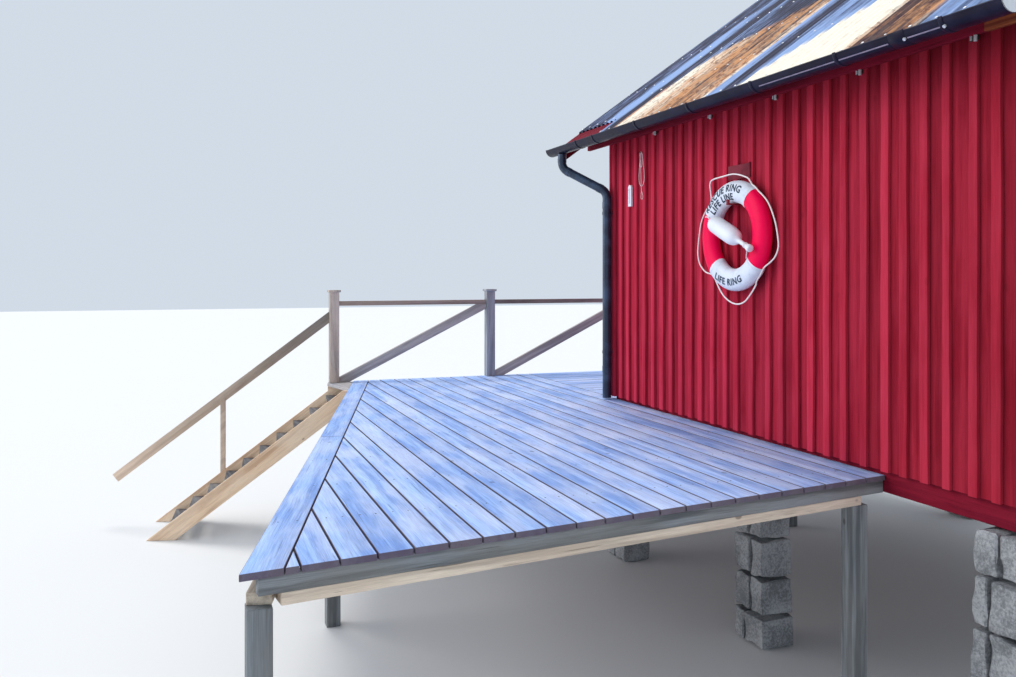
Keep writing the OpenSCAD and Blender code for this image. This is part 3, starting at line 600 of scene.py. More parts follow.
# Its strong blue is partly the blue of skylit shade, painted into the wood's colour.
DECK_BOARD = Timber(
    "weathered_deck", "weathered_deck", (0.38, 0.56, 0.96), (0.22, 0.36, 0.74), (0.07, 0.09, 0.16),
    (0.60, 0.69, 0.92), 0.6, knot_share=0.5, fine_share=0.35, tone_spread=0.16, warmth=0.08, relief=0.0018,
    # This dark colour is painted shade in the gaps between boards, and dirt on their ends.
    grime=(0.115, 0.062, 0.055),
)
FRAME_WOOD = Timber(
    "deck_frame_timber", "deck_frame_timber", (0.25, 0.27, 0.29), (0.10, 0.11, 0.12), (0.05, 0.04, 0.035),
    (0.20, 0.20, 0.19), 0.5, tone_spread=0.4, roughness=0.85,
)
BEARER_WOOD = Timber(
    "deck_bearer_timber", "deck_frame_timber", (0.74, 0.64, 0.52), (0.44, 0.37, 0.30), (0.10, 0.07, 0.05),
    (0.58, 0.46, 0.36), 0.5, roughness=0.85,
)
RAIL_WOOD = Timber(
    "rail_timber", "rail_timber", (0.49, 0.48, 0.48), (0.28, 0.27, 0.275), (0.08, 0.06, 0.06),
    (0.50, 0.44, 0.41), knot_share=0.8, tone_spread=0.36, warmth=0.34, roughness=0.75,
)
TOP_RAIL = Timber(
    "top_rail_timber", "rail_timber", (0.36, 0.28, 0.24), (0.20, 0.15, 0.13), (0.07, 0.05, 0.05),
    (0.44, 0.38, 0.34), 0.5, tone_spread=0.2, warmth=0.1, roughness=0.75,
)
# Its wide tone spread carries painted light: sunlit pale at the handrail's foot, shaded grey at the post.
HAND_RAIL = Timber(
    "hand_rail_timber", "rail_timber", (0.58, 0.47, 0.38), (0.42, 0.32, 0.25), (0.16, 0.09, 0.06),
    (0.64, 0.52, 0.42), tone_spread=0.95, warmth=0.12, roughness=0.7,
)
NEW_WOOD = Timber(
    "stair_timber", "stair_timber", (0.90, 0.66, 0.46), (0.64, 0.41, 0.26), (0.24, 0.11, 0.06),
    (0.95, 0.78, 0.60), 0.5, knot_share=0.7, crack_share=0.25, tone_spread=0.25, roughness=0.65,
)
# Painted shade: the treads are dark to stand for the shade in the gaps under them.
SHADED_TREAD_WOOD = Timber(
    "shaded_tread_timber", "stair_timber", (0.17, 0.17, 0.18), (0.07, 0.07, 0.08), (0.03, 0.03, 0.03),
    (0.24, 0.22, 0.21),
)
HEAD_WOOD = Timber(
    "stair_head_timber", "stair_timber", (0.62, 0.62, 0.66), (0.34, 0.33, 0.35), (0.12, 0.09, 0.08),
    (0.70, 0.62, 0.55), tone_spread=0.2,
)
STAINED_WOOD = Timber(
    "stained_plate_timber", "dark_red_timber", (0.36, 0.11, 0.04), (0.13, 0.03, 0.016), (0.05, 0.01, 0.006),
    (0.22, 0.03, 0.025), 0.5, tone_spread=0.2, shine=0.1,
)
BARE_WOOD = Timber(
    "inner_timber", "dark_red_timber", (0.34, 0.24, 0.17), (0.20, 0.13, 0.09), (0.07, 0.04, 0.03),
    (0.24, 0.17, 0.13),
)
FRONT_SHEET = RustySheet("roof_sheet", "roof_sheet", -HOUSE.pitch)
BACK_SHEET = RustySheet("roof_sheet_back", "roof_sheet", HOUSE.pitch)
METAL = "dark_gutter_steel"
GUTTER_STEEL = CoatedMetal(METAL, METAL, (0.008, 0.007, 0.020), (0.022, 0.022, 0.052), 0.0, 0.34, shine=0.12)
# A painted highlight: pale strips on the gutter's face stand for the sun's reflection on its curve.
GUTTER_HIGHLIGHT = CoatedMetal("gutter_highlight_paint", METAL, (0.30, 0.25, 0.34), (0.14, 0.12, 0.20), 0.0, 0.45, 0.8)
PIPE_STEEL = CoatedMetal("dark_pipe_steel", METAL, (0.018, 0.032, 0.062), (0.08, 0.14, 0.24), roughness=0.3)
ZINC = CoatedMetal("bright_zinc", METAL, (0.74, 0.76, 0.80), (0.52, 0.54, 0.58), 0.5, 0.4)
RUSTY_IRON = CoatedMetal("rusty_iron", METAL, (0.15, 0.016, 0.032), (0.26, 0.045, 0.065), 0.1, 0.75, 0.9, 0.2)
HOOK_PAINT = CoatedMetal(
    "painted_iron", METAL, (0.24, 0.012, 0.026), (0.10, 0.014, 0.016), 0.0, 0.7, shine=0.2
)
IRON = CoatedMetal("dark_iron", METAL, (0.03, 0.03, 0.035), (0.10, 0.06, 0.04), 0.5, 0.55)
LETTER_INK = CoatedMetal(
    "lifebuoy_ink", "lifebuoy_skin", (0.025, 0.04, 0.07), (0.08, 0.11, 0.17), 0.0, 0.6, shine=0.3
)
MARK_INK = CoatedMetal(
    "thermometer_ink", "white_plastic", (0.42, 0.43, 0.47), (0.6, 0.6, 0.64), 0.0, 0.6, shine=0.3
)
PIER_STONE = Stone("pier_stone", "pier_stone", (0.42, 0.43, 0.45), (0.16, 0.17, 0.18))
RING_RED = Plastic(
    "lifebuoy_skin", "lifebuoy_skin", (0.98, 0.003, 0.080), (0.78, 0.003, 0.06), 0.25, 0.26, shine=0.07
)
RING_WHITE = Plastic("lifebuoy_band", "lifebuoy_skin", (0.74, 0.80, 0.90), (0.46, 0.53, 0.64), 0.5, 0.4)
WHITE_PLASTIC = Plastic("white_plastic", "white_plastic", (0.84, 0.87, 0.94), (0.55, 0.60, 0.70))
WHITE_CORD = Plastic("white_cord", "white_cord", (0.90, 0.84, 0.84), (0.70, 0.58, 0.58), 0.4, 0.8, 60.0)
FLOOR = Floor("studio_floor", "")


# Meshes


def arc(radius: float, start: float, end: float, steps: int) -> list[Point2]:
    """Lists points round a circle, from one angle in degrees to another."""
    turns = [math.radians(start + (end - start) * i / steps) for i in range(steps + 1)]
    return [(radius * math.cos(turn), radius * math.sin(turn)) for turn in turns]


def circle(radius: float, sides: int) -> list[Point2]:
    """Lists the corners of a round profile."""
    return arc(radius, 0.0, 360.0, sides)[:-1]


def clip(corners: Sequence[Point2], inside: Callable[[Point2], float]) -> list[Point2]:
    """Cuts an outline by a straight line.

    Args:
        corners: The outline.
        inside: A linear function of a point, positive on the side that stays.

    Returns:
        The outline that is left.
    """
    kept = []
    for i, (x, y) in enumerate(corners):
        other = corners[(i + 1) % len(corners)]
        a, b = inside((x, y)), inside(other)
        if a >= 0:
            kept.append((x, y))
        if a * b < 0:
            share = a / (a - b)
            kept.append((x + (other[0] - x) * share, y + (other[1] - y) * share))
    return kept


def spline(points: Sequence[Vector], steps: int) -> list[Vector]:
    """Runs a smooth line through some points.

    Args:
        points: The points that it passes.
        steps: Pieces between two of them.

    Returns:
        The line's points, ends included.
    """
    made = []
    last = len(points) - 1
    for i in range(last):
        a, b, c, d = points[max(i - 1, 0)], points[i], points[i + 1], points[min(i + 2, last)]
        for f in (k / steps for k in range(steps)):
            square, cube = 2 * a - 5 * b + 4 * c - d, 3 * b - a - 3 * c + d
            made.append((2 * b + (c - a) * f + square * f * f + cube * f ** 3) / 2)
    return made + [points[-1].copy()]


class Shape:
    """A mesh in the making, in the row's frame."""

    def __init__(self) -> None:
        """Starts with no faces."""
        self.bm = bmesh.new()

    @classmethod
    def of_node(cls, node: str) -> "Shape":
        """Starts with a copy of a frame node, its flat faces whole again.

        Args:
            node: The node's name.

        Returns:
            The new shape.
        """
        shape = cls()
        shape.bm.from_mesh(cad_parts[node].data)
        verts, edges = shape.bm.verts, shape.bm.edges
        bmesh.ops.remove_doubles(shape.bm, verts=verts, dist=1e-5)
        bmesh.ops.dissolve_limit(shape.bm, angle_limit=math.radians(1.0), verts=verts, edges=edges)
        return shape

    def ring(self, points: Iterable[Vector]) -> list[bmesh.types.BMVert]:
        """Adds vertices at some points."""
        return [self.bm.verts.new(point) for point in points]

    def bridge(self, first: Sequence, second: Sequence) -> list[bmesh.types.BMFace]:
        """Joins two rings with as many vertices by faces, and returns these."""
        pairs = [(i, (i + 1) % len(first)) for i in range(len(first))]
        return [self.bm.faces.new((first[i], first[j], second[j], second[i])) for i, j in pairs]

    def prism(self, outline: Sequence[Vector], thrust: Vector) -> "Shape":
        """Adds a solid with a flat outline pushed along a direction.

        Args:
            outline: Corners of one end.
            thrust: From that end to the other.

        Returns:
            The shape itself.
        """
        near, far = self.ring(outline), self.ring(corner + thrust for corner in outline)
        for face in (near, list(reversed(far))):
            self.bm.faces.new(face)
        self.bridge(far, near)
        return self

    def box(self, low: Vector, high: Vector) -> "Shape":
        """Adds a box between two corners, and returns the shape."""
        plan = (low.xy, (high.x, low.y), high.xy, (low.x, high.y))
        return self.prism([Vector((x, y, low.z)) for x, y in plan], Vector((0, 0, high.z - low.z)))

    def loft(self, rings: Sequence[Sequence[Vector]], closed: bool = False) -> list[bmesh.types.BMFace]:
        """Joins rings of points to a tube.

        Args:
            rings: The rings, each with as many points.
            closed: Whether the last one joins the first. Else both ends get a face.

        Returns:
            The faces between the rings, in their order.
        """
        made = [self.ring(points) for points in rings]
        faces = []
        for i in range(len(made) if closed else len(made) - 1):
            faces += self.bridge(made[i], made[(i + 1) % len(made)])
        if not closed:
            self.bm.faces.new(list(reversed(made[0])))
            self.bm.faces.new(made[-1])
        return faces

    def sweep(
        self, profile: Sequence[Point2], path: Sequence[Vector], side: Vector, closed: bool = False
    ) -> None:
        """Carries a profile along a path without twisting it.

        Args:
            profile: Points across the path: first along its side, then along its up direction.
            path: Points that the profile passes.
            side: Direction that the profile's first axis starts with.
            closed: Whether the path's end joins its start.
        """
        rings = []
        last = len(path) - 1
        across = side.normalized()
        for i, point in enumerate(path):
            if closed:
                along = (path[(i + 1) % len(path)] - path[i - 1]).normalized()
            else:
                along = (path[min(i + 1, last)] - path[max(i - 1, 0)]).normalized()
            across = (across - along * across.dot(along)).normalized()
            up = along.cross(across)
            rings.append([point + across * a + up * b for a, b in profile])
        self.loft(rings, closed)

    def bevel(self, width: float, segments: int = 2, angle: float = 0.5) -> "Shape":
        """Rounds the edges that are sharper than an angle in radians.

        Args:
            width: Width of the rounding.
            segments: Its strips.
            angle: The angle.

        Returns:
            The shape itself.
        """
        bmesh.ops.recalc_face_normals(self.bm, faces=self.bm.faces)
        edges = [e for e in self.bm.edges if len(e.link_faces) == 2 and e.calc_face_angle(0.0) > angle]
        bmesh.ops.bevel(
            self.bm, geom=edges, offset=width, segments=segments, profile=0.6, affect="EDGES",
            clamp_overlap=True,
        )
        return self

    def cut(self, point: Vector, normal: Vector) -> None:
        """Cuts the faces that a plane crosses, so that each side can have its own finish."""
        parts = self.bm.verts[:] + self.bm.edges[:] + self.bm.faces[:]
        bmesh.ops.bisect_plane(self.bm, geom=parts, plane_co=point, plane_no=normal)

    def split_long(self, length: float, rounds: int = 6) -> None:
        """Cuts the edges of flat parts, so that they can be bent.

        Args:
            length: Length over which an edge is cut.
            rounds: Times that all long edges are cut, at most.
        """
        for _ in range(rounds):
            bmesh.ops.triangulate(self.bm, faces=self.bm.faces)
            edges = [e for e in self.bm.edges if e.calc_length() > length]
            if not edges:
                break
            bmesh.ops.subdivide_edges(self.bm, edges=edges, cuts=1)
        bmesh.ops.triangulate(self.bm, faces=self.bm.faces)

    def mesh(self, merge: bool = False) -> Mesh:
        """Ends the work and gives the mesh, with outward normals.

        Args:
            merge: Whether vertices in one place become one.

        Returns:
            The finished mesh.
        """
        if merge:
            bmesh.ops.remove_doubles(self.bm, verts=self.bm.verts, dist=1e-5)
        bmesh.ops.recalc_face_normals(self.bm, faces=self.bm.faces)
        made = bpy.data.meshes.new("shape")
        self.bm.to_mesh(made)
        self.bm.free()
        return made


def islands(mesh: Mesh) -> list[list[int]]:
    """Lists the vertices of each loose part of a mesh.

    Args:
        mesh: The mesh.

    Returns:
        The vertices' numbers, by part.
    """
    parent = list(range(len(mesh.vertices)))

    def root(i: int) -> int:
        """Finds the vertex that stands for a part.

        Args:
            i: Any vertex of the part.

        Returns:
            The vertex.
        """
        while parent[i] != i:
            parent[i] = parent[parent[i]]
            i = parent[i]
        return i

    for edge in mesh.edges:
        a, b = (root(i) for i in edge.vertices)
        parent[b] = a
    groups: dict[int, list[int]] = {}
    for i in range(len(mesh.vertices)):
        groups.setdefault(root(i), []).append(i)
    return list(groups.values())


def longest_axis(points: Sequence[Vector]) -> Vector:
    """Finds the direction in which a timber reaches furthest, between the middles of its two ends.

    Args:
        points: The timber's vertices.

    Returns:
        The direction.
    """
    middle = sum(points, Vector()) / len(points)
    far = max(points, key=lambda p: (p - middle).length_squared)
    other = max(points, key=lambda p: (p - far).length_squared)
    reach = 0.12 * (other - far).length
    ends = [[p for p in points if (p - end).length < reach] for end in (far, other)]
    first, second = (sum(end, Vector()) / len(end) for end in ends)
    return (second - first).normalized()


def write_marks(mesh: Mesh, name: str, values: Sequence[float]) -> None:
    """Writes one number for each vertex as an attribute."""
    mesh.attributes.new(name, "FLOAT", "POINT").data.foreach_set("value", values)


def timber(
    shape: Union[Shape, Mesh], seed: int, axis: Optional[Vector] = None,
    shade: Optional[Callable[[Vector], float]] = None, merge: bool = False,
) -> Mesh:
    """Gives each loose part its own grain coordinates and its own tone.

    Args:
        shape: The timbers.
        seed: Start of the random numbers.
        axis: Direction of the grain, or None for each part's longest direction.
        shade: Gives the tone at a point, or None for a random tone for each part.
        merge: Whether a shape's vertices in one place become one.

    Returns:
        Their mesh.
    """
    mesh = shape.mesh(merge) if isinstance(shape, Shape) else shape
    rng = random.Random(seed)
    coordinates = [vertex.co.copy() for vertex in mesh.vertices]
    figures = [0.0] * (3 * len(coordinates))
    tones = [0.0] * len(coordinates)
    for part in islands(mesh):
        along = axis or longest_axis([coordinates[i] for i in part])
        side = along.cross(UP) if abs(along.z) < 0.9 else along.orthogonal()
        axes = (along, side.normalized(), along.cross(side.normalized()))
        shifts = (rng.uniform(0, 40), rng.uniform(0, 9), rng.uniform(0, 9))
        tone = rng.random()
        for i in part:
            figures[3 * i:3 * i + 3] = [coordinates[i].dot(a) + shift for a, shift in zip(axes, shifts)]
            tones[i] = shade(coordinates[i]) if shade else tone
    mesh.attributes.new("figure", "FLOAT_VECTOR", "POINT").data.foreach_set("vector", figures)
    write_marks(mesh, "tone", tones)
    return mesh


def put(name: str, data: bpy.types.ID) -> bpy.types.Object:
    """Puts a new object with some data into the scene, and returns it."""
    made = bpy.data.objects.new(name, data)
    bpy.context.scene.collection.objects.link(made)
    return made


def piece(
    shape: Union[Shape, Mesh], name: str, finish: Finish, nodes: Iterable[str] = (), smooth: float = 38.0,
    slot: str = "",
) -> bpy.types.Object:
    """Puts a finished mesh into the scene as a piece of the boathouse.

    Args:
        shape: The piece, in the row's frame.
        name: The piece's name.
        finish: Its finish, where its mesh has no materials yet.
        nodes: The frame's nodes that it replaces.
        smooth: Angle in degrees up to which faces blend.
        slot: A slot name, not used.

    Returns:
        The new object.
    """
    mesh = shape.mesh() if isinstance(shape, Shape) else shape
    mesh.name = name
    if not mesh.materials:
        mesh.materials.append(finish.material())
    mesh.shade_smooth()
    mesh.set_sharp_from_angle(angle=math.radians(smooth))
    made = put(name, mesh)
    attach(made, ROOT)
    if nodes:
        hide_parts(*nodes)
    slot or finish.slot
    log.info("made %s", name)
    return made


def cord(path: Sequence[Vector], diameter: float, sides: int, name: str, node: str) -> None:
    """Makes a limp hanging cord along a path.

    Args:
        path: Its middle line.
        diameter: Its diameter.
        sides: Sides of its round section.
        name: The piece's name.
        node: The frame's node that it replaces.
    """
    shape = Shape()
    shape.sweep(circle(diameter / 2, sides), path, ACROSS)
    made = piece(shape, name, WHITE_CORD, [node], 60)
    length = sum((b - a).length for a, b in zip(path, path[1:]))
    tuple(path[0])
    [tuple(p) for p in path]


# Geometry node recipes


class Recipe(Group):
    """A geometry node group, run once on a mesh."""

    def __init__(self, name: str, inputs: dict[str, str]) -> None:
        """Starts the group with its geometry, its own inputs and a material."""
        sockets = {"Geometry": "Geometry", **inputs, "Material": "Material"}
        super().__init__(name, "GeometryNodeTree", sockets, {"Geometry": "Geometry"})

    def realize(self, geometry: Value) -> Value:
        """Turns instances into plain geometry."""
        return self.graph.out("GeometryNodeRealizeInstances", {0: geometry})

    def dress(self, geometry: Value) -> "Recipe":
        """Realizes what the group made and sets its material, and returns the recipe."""
        inputs = {"Geometry": self.realize(geometry), "Material": self.given("Material")}
        self.end({"Geometry": self.graph.out("GeometryNodeSetMaterial", inputs)})
        return self

    def run(self, mesh: Mesh, finish: Finish, values: dict[str, object]) -> Mesh:
        """Runs the group on a mesh.

        Args:
            mesh: What the group starts from.
            finish: Gives the result its material.
            values: The group's inputs by name.

        Returns:
            A plain mesh with the result.
        """
        values = {**values, "Material": finish.material()}
        holder = put("holder", mesh)
        modifier = holder.modifiers.new("recipe", "NODES")
        modifier.node_group = self.tree
        for item in self.tree.interface.items_tree:
            if item.in_out == "INPUT" and item.name in values:
                modifier[item.identifier] = values[item.name]
        graph = bpy.context.evaluated_depsgraph_get()
        made = bpy.data.meshes.new_from_object(
            holder.evaluated_get(graph), preserve_all_data_layers=True, depsgraph=graph
        )
        holder.modifiers.clear()
        bpy.data.objects.remove(holder)
        return made


def points_mesh(places: Sequence[Vector], widths: Sequence[float] = ()) -> Mesh:
    """Makes a mesh of loose points, with widths where these are given.

    Args:
        places: The points.
        widths: A width for each, or none.

    Returns:
        The mesh.
    """
    mesh = bpy.data.meshes.new("points")
    mesh.from_pydata([tuple(place) for place in places], [], [])
    if widths:
        write_marks(mesh, "width", widths)
    return mesh


def board_recipe() -> Recipe:
    """Makes the recipe for a row of upright boards with waney edges, cut under a roof line.

    The row stands in the X-Z plane: each point is a board's foot, and its width attribute is the
    board's width. The roof line falls from the ridge to both eaves, or stays level at slope 0.

    Returns:
        The recipe.
    """
    sizes = ("Depth", "Height", "Wobble", "Corner", "Line", "Slope", "Ridge", "Seed")
    recipe = Recipe("upright_boards", dict.fromkeys(sizes, "Float"))
    graph, given = recipe.graph, recipe.given
    line = graph.out("GeometryNodeCurvePrimitiveLine", {"Start": (0, 0, 0), "End": (0, 0, 1)}, mode="POINTS")
    steps = graph.out("GeometryNodeResampleCurve", {"Curve": line, "Count": 26})
    sides = {"Width": 1.0, "Height": 1.0}
    square = graph.out("GeometryNodeCurvePrimitiveQuadrilateral", sides, mode="RECTANGLE")
    corner = {"Curve": square, "Radius": given("Corner"), "Count": 1}
    profile = graph.out("GeometryNodeFilletCurve", corner, mode="POLY")
    sweep = {"Curve": steps, "Profile Curve": profile, "Fill Caps": True}
    board = graph.out("GeometryNodeCurveToMesh", sweep)
    width = graph.out("GeometryNodeInputNamedAttribute", {"Name": "width"}, data_type="FLOAT")
    scale = graph.combine(width, given("Depth"), given("Height"))
    row = {"Points": given("Geometry"), "Instance": board, "Scale": scale}
    boards = recipe.realize(graph.out("GeometryNodeInstanceOnPoints", row))
    split = graph.add("ShaderNodeSeparateXYZ", {0: graph.out("GeometryNodeInputPosition")})
    x, z = Value(graph, split.outputs[0]), Value(graph, split.outputs[2])
    wave = graph.noise(graph.combine(x * 9.0, given("Seed"), z * 1.7), 1.0)
    limit = given("Line") - graph.math("ABSOLUTE", x - given("Ridge")) * given("Slope")
    offset = graph.combine((wave - 0.5) * given("Wobble"), 0.0, graph.math("MINIMUM", limit - z, 0.0))
    return recipe.dress(graph.out("GeometryNodeSetPosition", {"Geometry": boards, "Offset": offset}))


def head_recipe() -> Recipe:
    """Makes the recipe for round screw or nail heads, one at each point, leaning with the roof.

    Returns:
        The recipe.
    """
    recipe = Recipe("round_heads", {"Radius": "Float", "Height": "Float", "Lean": "Float", "Seed": "Int"})
    graph, given = recipe.graph, recipe.given
    ball = graph.out("GeometryNodeMeshUVSphere", {"Segments": 10, "Rings": 5, "Radius": given("Radius")})
    flat = graph.combine(1.0, 1.0, given("Height") / given("Radius"))
    head = graph.out("GeometryNodeTransform", {"Geometry": ball, "Scale": flat})
    size = {2: 0.85, 3: 1.1, "Seed": given("Seed")}
    return recipe.dress(graph.out("GeometryNodeInstanceOnPoints", {
        "Points": given("Geometry"), "Instance": head, "Rotation": graph.combine(given("Lean"), 0.0, 0.0),
        "Scale": graph.out("FunctionNodeRandomValue", size, 1, data_type="FLOAT"),
    }))


def rough_recipe() -> Recipe:
    """Makes the recipe that breaks up the faces of stones, inwards only.

    Returns:
        The recipe.
    """
    recipe = Recipe("rough_stones", dict.fromkeys(("Depth", "Scale", "Seed"), "Float"))
    graph, given = recipe.graph, recipe.given
    finer = graph.out("GeometryNodeSubdivideMesh", {"Mesh": given("Geometry"), "Level": 2})
    seed = given("Seed")
    place = graph.plus(graph.out("GeometryNodeInputPosition"), graph.combine(seed, seed, seed))
    inward = graph.span(graph.noise(place, given("Scale"), 4.0), 0.3, 0.7) * given("Depth")
    push = {0: graph.out("GeometryNodeInputNormal"), "Scale": inward * -1.0}
    offset = graph.out("ShaderNodeVectorMath", push, operation="SCALE")
    return recipe.dress(graph.out("GeometryNodeSetPosition", {"Geometry": finer, "Offset": offset}))


# Studio


@dataclass
class Studio:
    """Pale floor, soft light and the photograph's camera."""

    eye: Point3 = (7.091, -3.529, 2.42)
    heading: float = math.radians(69.98)
    sensor: float = 36.0
    lens: float = 31.89
    shift_y: float = -0.063
    nearest: float = 0.05
    furthest: float = 200.0
    floor_half: float = 60.0
    floor_low: float = -0.06
    floor_top: float = -0.001
    sky_colour: Rgb = (0.80, 0.89, 1.0)
    sky_strength: float = 0.8
    suns: tuple[tuple[str, Point3, float, float, Rgb], ...] = (
        ("high_sun", (0.45, -0.03, -0.9), 1.2, 24.0, (1.0, 0.96, 0.90)),
        ("front_light", (0.42, 0.80, -0.34), 1.5, 50.0, (1.0, 0.97, 0.95)),
    )

    def build(self) -> None:
        """Adds the camera, the floor and the lights."""
        bpy.context.scene.view_settings.view_transform = "Standard"
        self.camera()
        self.floor()
        self.sky()
        for name, direction, strength, angle, colour in self.suns:
            self.sun(name, Vector(direction), strength, angle, colour)

    def camera(self) -> None:
        """Sets a level camera where the photograph was taken."""
        data = bpy.data.cameras.new("photo_camera")
        data.sensor_width = self.sensor
        data.lens = self.lens
        data.shift_y = self.shift_y
        data.clip_start = self.nearest
        data.clip_end = self.furthest
        eye = put("photo_camera", data)
        eye.location = site(*self.eye)
        eye.rotation_euler = (math.radians(90.0), 0.0, self.heading)
        bpy.context.scene.camera = eye

    def floor(self) -> None:
        """Lays a wide plain floor at the foot of the piers."""
        half = self.floor_half
        low, high = Vector((-half, -half, self.floor_low)), Vector((half, half, self.floor_top))
        mesh = Shape().box(low, high).mesh()
        mesh.materials.append(FLOOR.material())
        put("studio_floor", mesh)

    def sky(self) -> None:
        """Adds a pale even sky."""
        world = bpy.data.worlds.new("studio_sky")
        world.use_nodes = True
        sky = world.node_tree.nodes["Background"]
        sky.inputs["Color"].default_value = (*self.sky_colour, 1.0)
        sky.inputs["Strength"].default_value = self.sky_strength
        bpy.context.scene.world = world

    def sun(self, name: str, direction: Vector, strength: float, angle: float, colour: Rgb) -> None:
        """Adds a soft sun.

        Args:
            name: Its name.
            direction: The way its light goes.
            strength: Its strength in W/m2.
            angle: Its width in degrees.
            colour: Its colour.
        """
        light = bpy.data.lights.new(name, "SUN")
        light.energy = strength
        light.angle = math.radians(angle)
        light.color = colour
        put(name, light).rotation_euler = direction.to_track_quat("-Z", "Y").to_euler()


# Parts of the boathouse


@dataclass
class Assembly:
    """A group of pieces that are built and then dressed together."""

    def build(self) -> None:
        """Makes the main pieces."""
        raise NotImplementedError

    def dress(self) -> None:
        """Adds small parts. Some groups have none."""


class Side(Enum):
    """The four walls."""

    DECK = "front"
    BACK = "back"
    LAKE = "lake"
    LAND = "land"

    @property
    def gable(self) -> bool:
        """Whether the wall is a gable."""
        return self in (Side.LAKE, Side.LAND)


@dataclass
class DressedTimbers(Assembly):
    """Timbers that keep the frame's shape and get rounded edges and grain."""

    jobs: tuple[tuple[str, Finish, float], ...] = (
        ("sill_frame", DARK_RED, 0.004),
        ("front_rafters", DARK_RED, 0.003),
        ("back_rafters", DARK_RED, 0.003),
        ("ridge_board", DARK_RED, 0.003),
        ("fascia_boards", DARK_RED, 0.003),
        ("barge_boards", DARK_RED, 0.003),
        ("door_frame", DARK_RED, 0.003),
        ("deck_joists", FRAME_WOOD, 0.003),
        ("deck_beams", BEARER_WOOD, 0.004),
        ("deck_legs", FRAME_WOOD, 0.005),
        ("rail_posts", RAIL_WOOD, 0.005),
        ("top_rails", TOP_RAIL, 0.004),
        ("rail_braces", RAIL_WOOD, 0.004),
        ("stair_stringers", NEW_WOOD, 0.004),
        ("stair_treads", SHADED_TREAD_WOOD, 0.004),
        ("stair_handrail", HAND_RAIL, 0.006),
    )
    bare_from: float = 3.93
    bare_depth: Point2 = (-0.06, 0.01)
    head_depth: float = 0.04
    first_post_y: float = -1.7
    brace_tone: float = 0.55

    def build(self) -> None:
        """Copies each node's shape, rounds it and gives it grain."""
        shades = {
            "rail_posts": self.post_tone, "rail_braces": lambda point: self.brace_tone,
            "stair_handrail": self.rail_tone,
        }
        seconds = {
            "stair_treads": (HEAD_WOOD, self.on_head_board),
            "fascia_boards": (STAINED_WOOD, self.on_bare_plate),
        }
        for number, (node, finish, edge) in enumerate(self.jobs):
            shape = Shape.of_node(node).bevel(edge)
            if node == "fascia_boards":
                shape.cut(site(self.bare_from, 0, 0), ALONG)
            mesh = timber(shape, number + 1, shade=shades.get(node), merge=True)
            if node in seconds:
                second, inside = seconds[node]
                mesh.materials.append(finish.material())
                mesh.materials.append(second.material())
                for face in mesh.polygons:
                    face.material_index = int(inside(face.center))
            piece(mesh, node + "_timber", finish, [node])

    def post_tone(self, point: Vector) -> float:
        """Makes the stair's first post the warmest, as it catches the light."""
        return 0.9 if point.y < site(0, self.first_post_y, 0).y else 0.3

    def rail_tone(self, point: Vector) -> float:
        """Paints light and shade on the stair's handrail: pale in the sun at its foot and grey in shade at
        the post.
        """
        low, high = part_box("stair_handrail")
        return 1.0 - within((point.z - low.z) / (high.z - low.z))

    def on_head_board(self, point: Vector) -> bool:
        """Tells the stair's head board from its treads."""
        return point.z > HOUSE.deck_top - self.head_depth

    def on_bare_plate(self, point: Vector) -> bool:
        """Tells the unpainted end of the plate under the deck-side eaves."""
        corner = site(self.bare_from, 0, 0)
        low, high = self.bare_depth
        return point.x > corner.x and corner.y + low < point.y < corner.y + high


@dataclass
class Piers(Assembly):
    """Rough stone piers under the walls, laid in courses."""

    seed: int = 4
    top: float = 1.245
    foot_half: float = 0.17
    head_half: float = 0.13
    courses: int = 5
    joint: float = 0.007
    worn_edge: float = 0.012
    relief: float = 0.022
    lumps: float = 9.0

    def build(self) -> None:
        """Stacks each pier's stones, then roughens them."""
        rng = random.Random(self.seed)
        shape = Shape()
        whole = Shape.of_node("stone_piers").mesh()
        for part in islands(whole):
            self.pier(shape, sum((whole.vertices[i].co for i in part), Vector()) / len(part), rng)
        bpy.data.meshes.remove(whole)
        stones = shape.bevel(self.worn_edge, 1).mesh()
        values = {"Depth": self.relief, "Scale": self.lumps, "Seed": float(self.seed)}
        piece(rough_recipe().run(stones, PIER_STONE, values), "rough_piers", PIER_STONE, ["stone_piers"], 60)

    def pier(self, shape: Shape, middle: Vector, rng: random.Random) -> None:
        """Stacks one pier's stones, two in each course.

        Args:
            shape: Takes the stones.
            middle: The pier's middle.
            rng: Gives the courses their heights and joints.
        """
        shares = [rng.uniform(0.8, 1.2) for _ in range(self.courses)]
        taper = self.foot_half - self.head_half
        z = 0.0
        for share in shares:
            high = z + share * self.top / sum(shares)
            split = rng.uniform(-0.35, 0.35)
            half = self.foot_half - taper * z / self.top
            shrink = 1 - taper * (high - z) / self.top / self.foot_half
            for a, b in ((-1.0, split), (split, 1.0)):
                corners = [
                    Vector((middle.x + x * half, middle.y + y * self.head_half, z))
                    for x, y in ((a, -1), (b, -1), (b, 1), (a, 1))
                ]
                inset = self.joint / 2 / (b - a) / self.head_half
                centre = sum(corners, Vector()) / 4
                low = [centre + (c - centre) * (1 - inset) for c in corners]
                top = [Vector((middle.x + (c.x - middle.x) * shrink, c.y, high - self.joint)) for c in low]
                shape.loft([low, top])
            z = high


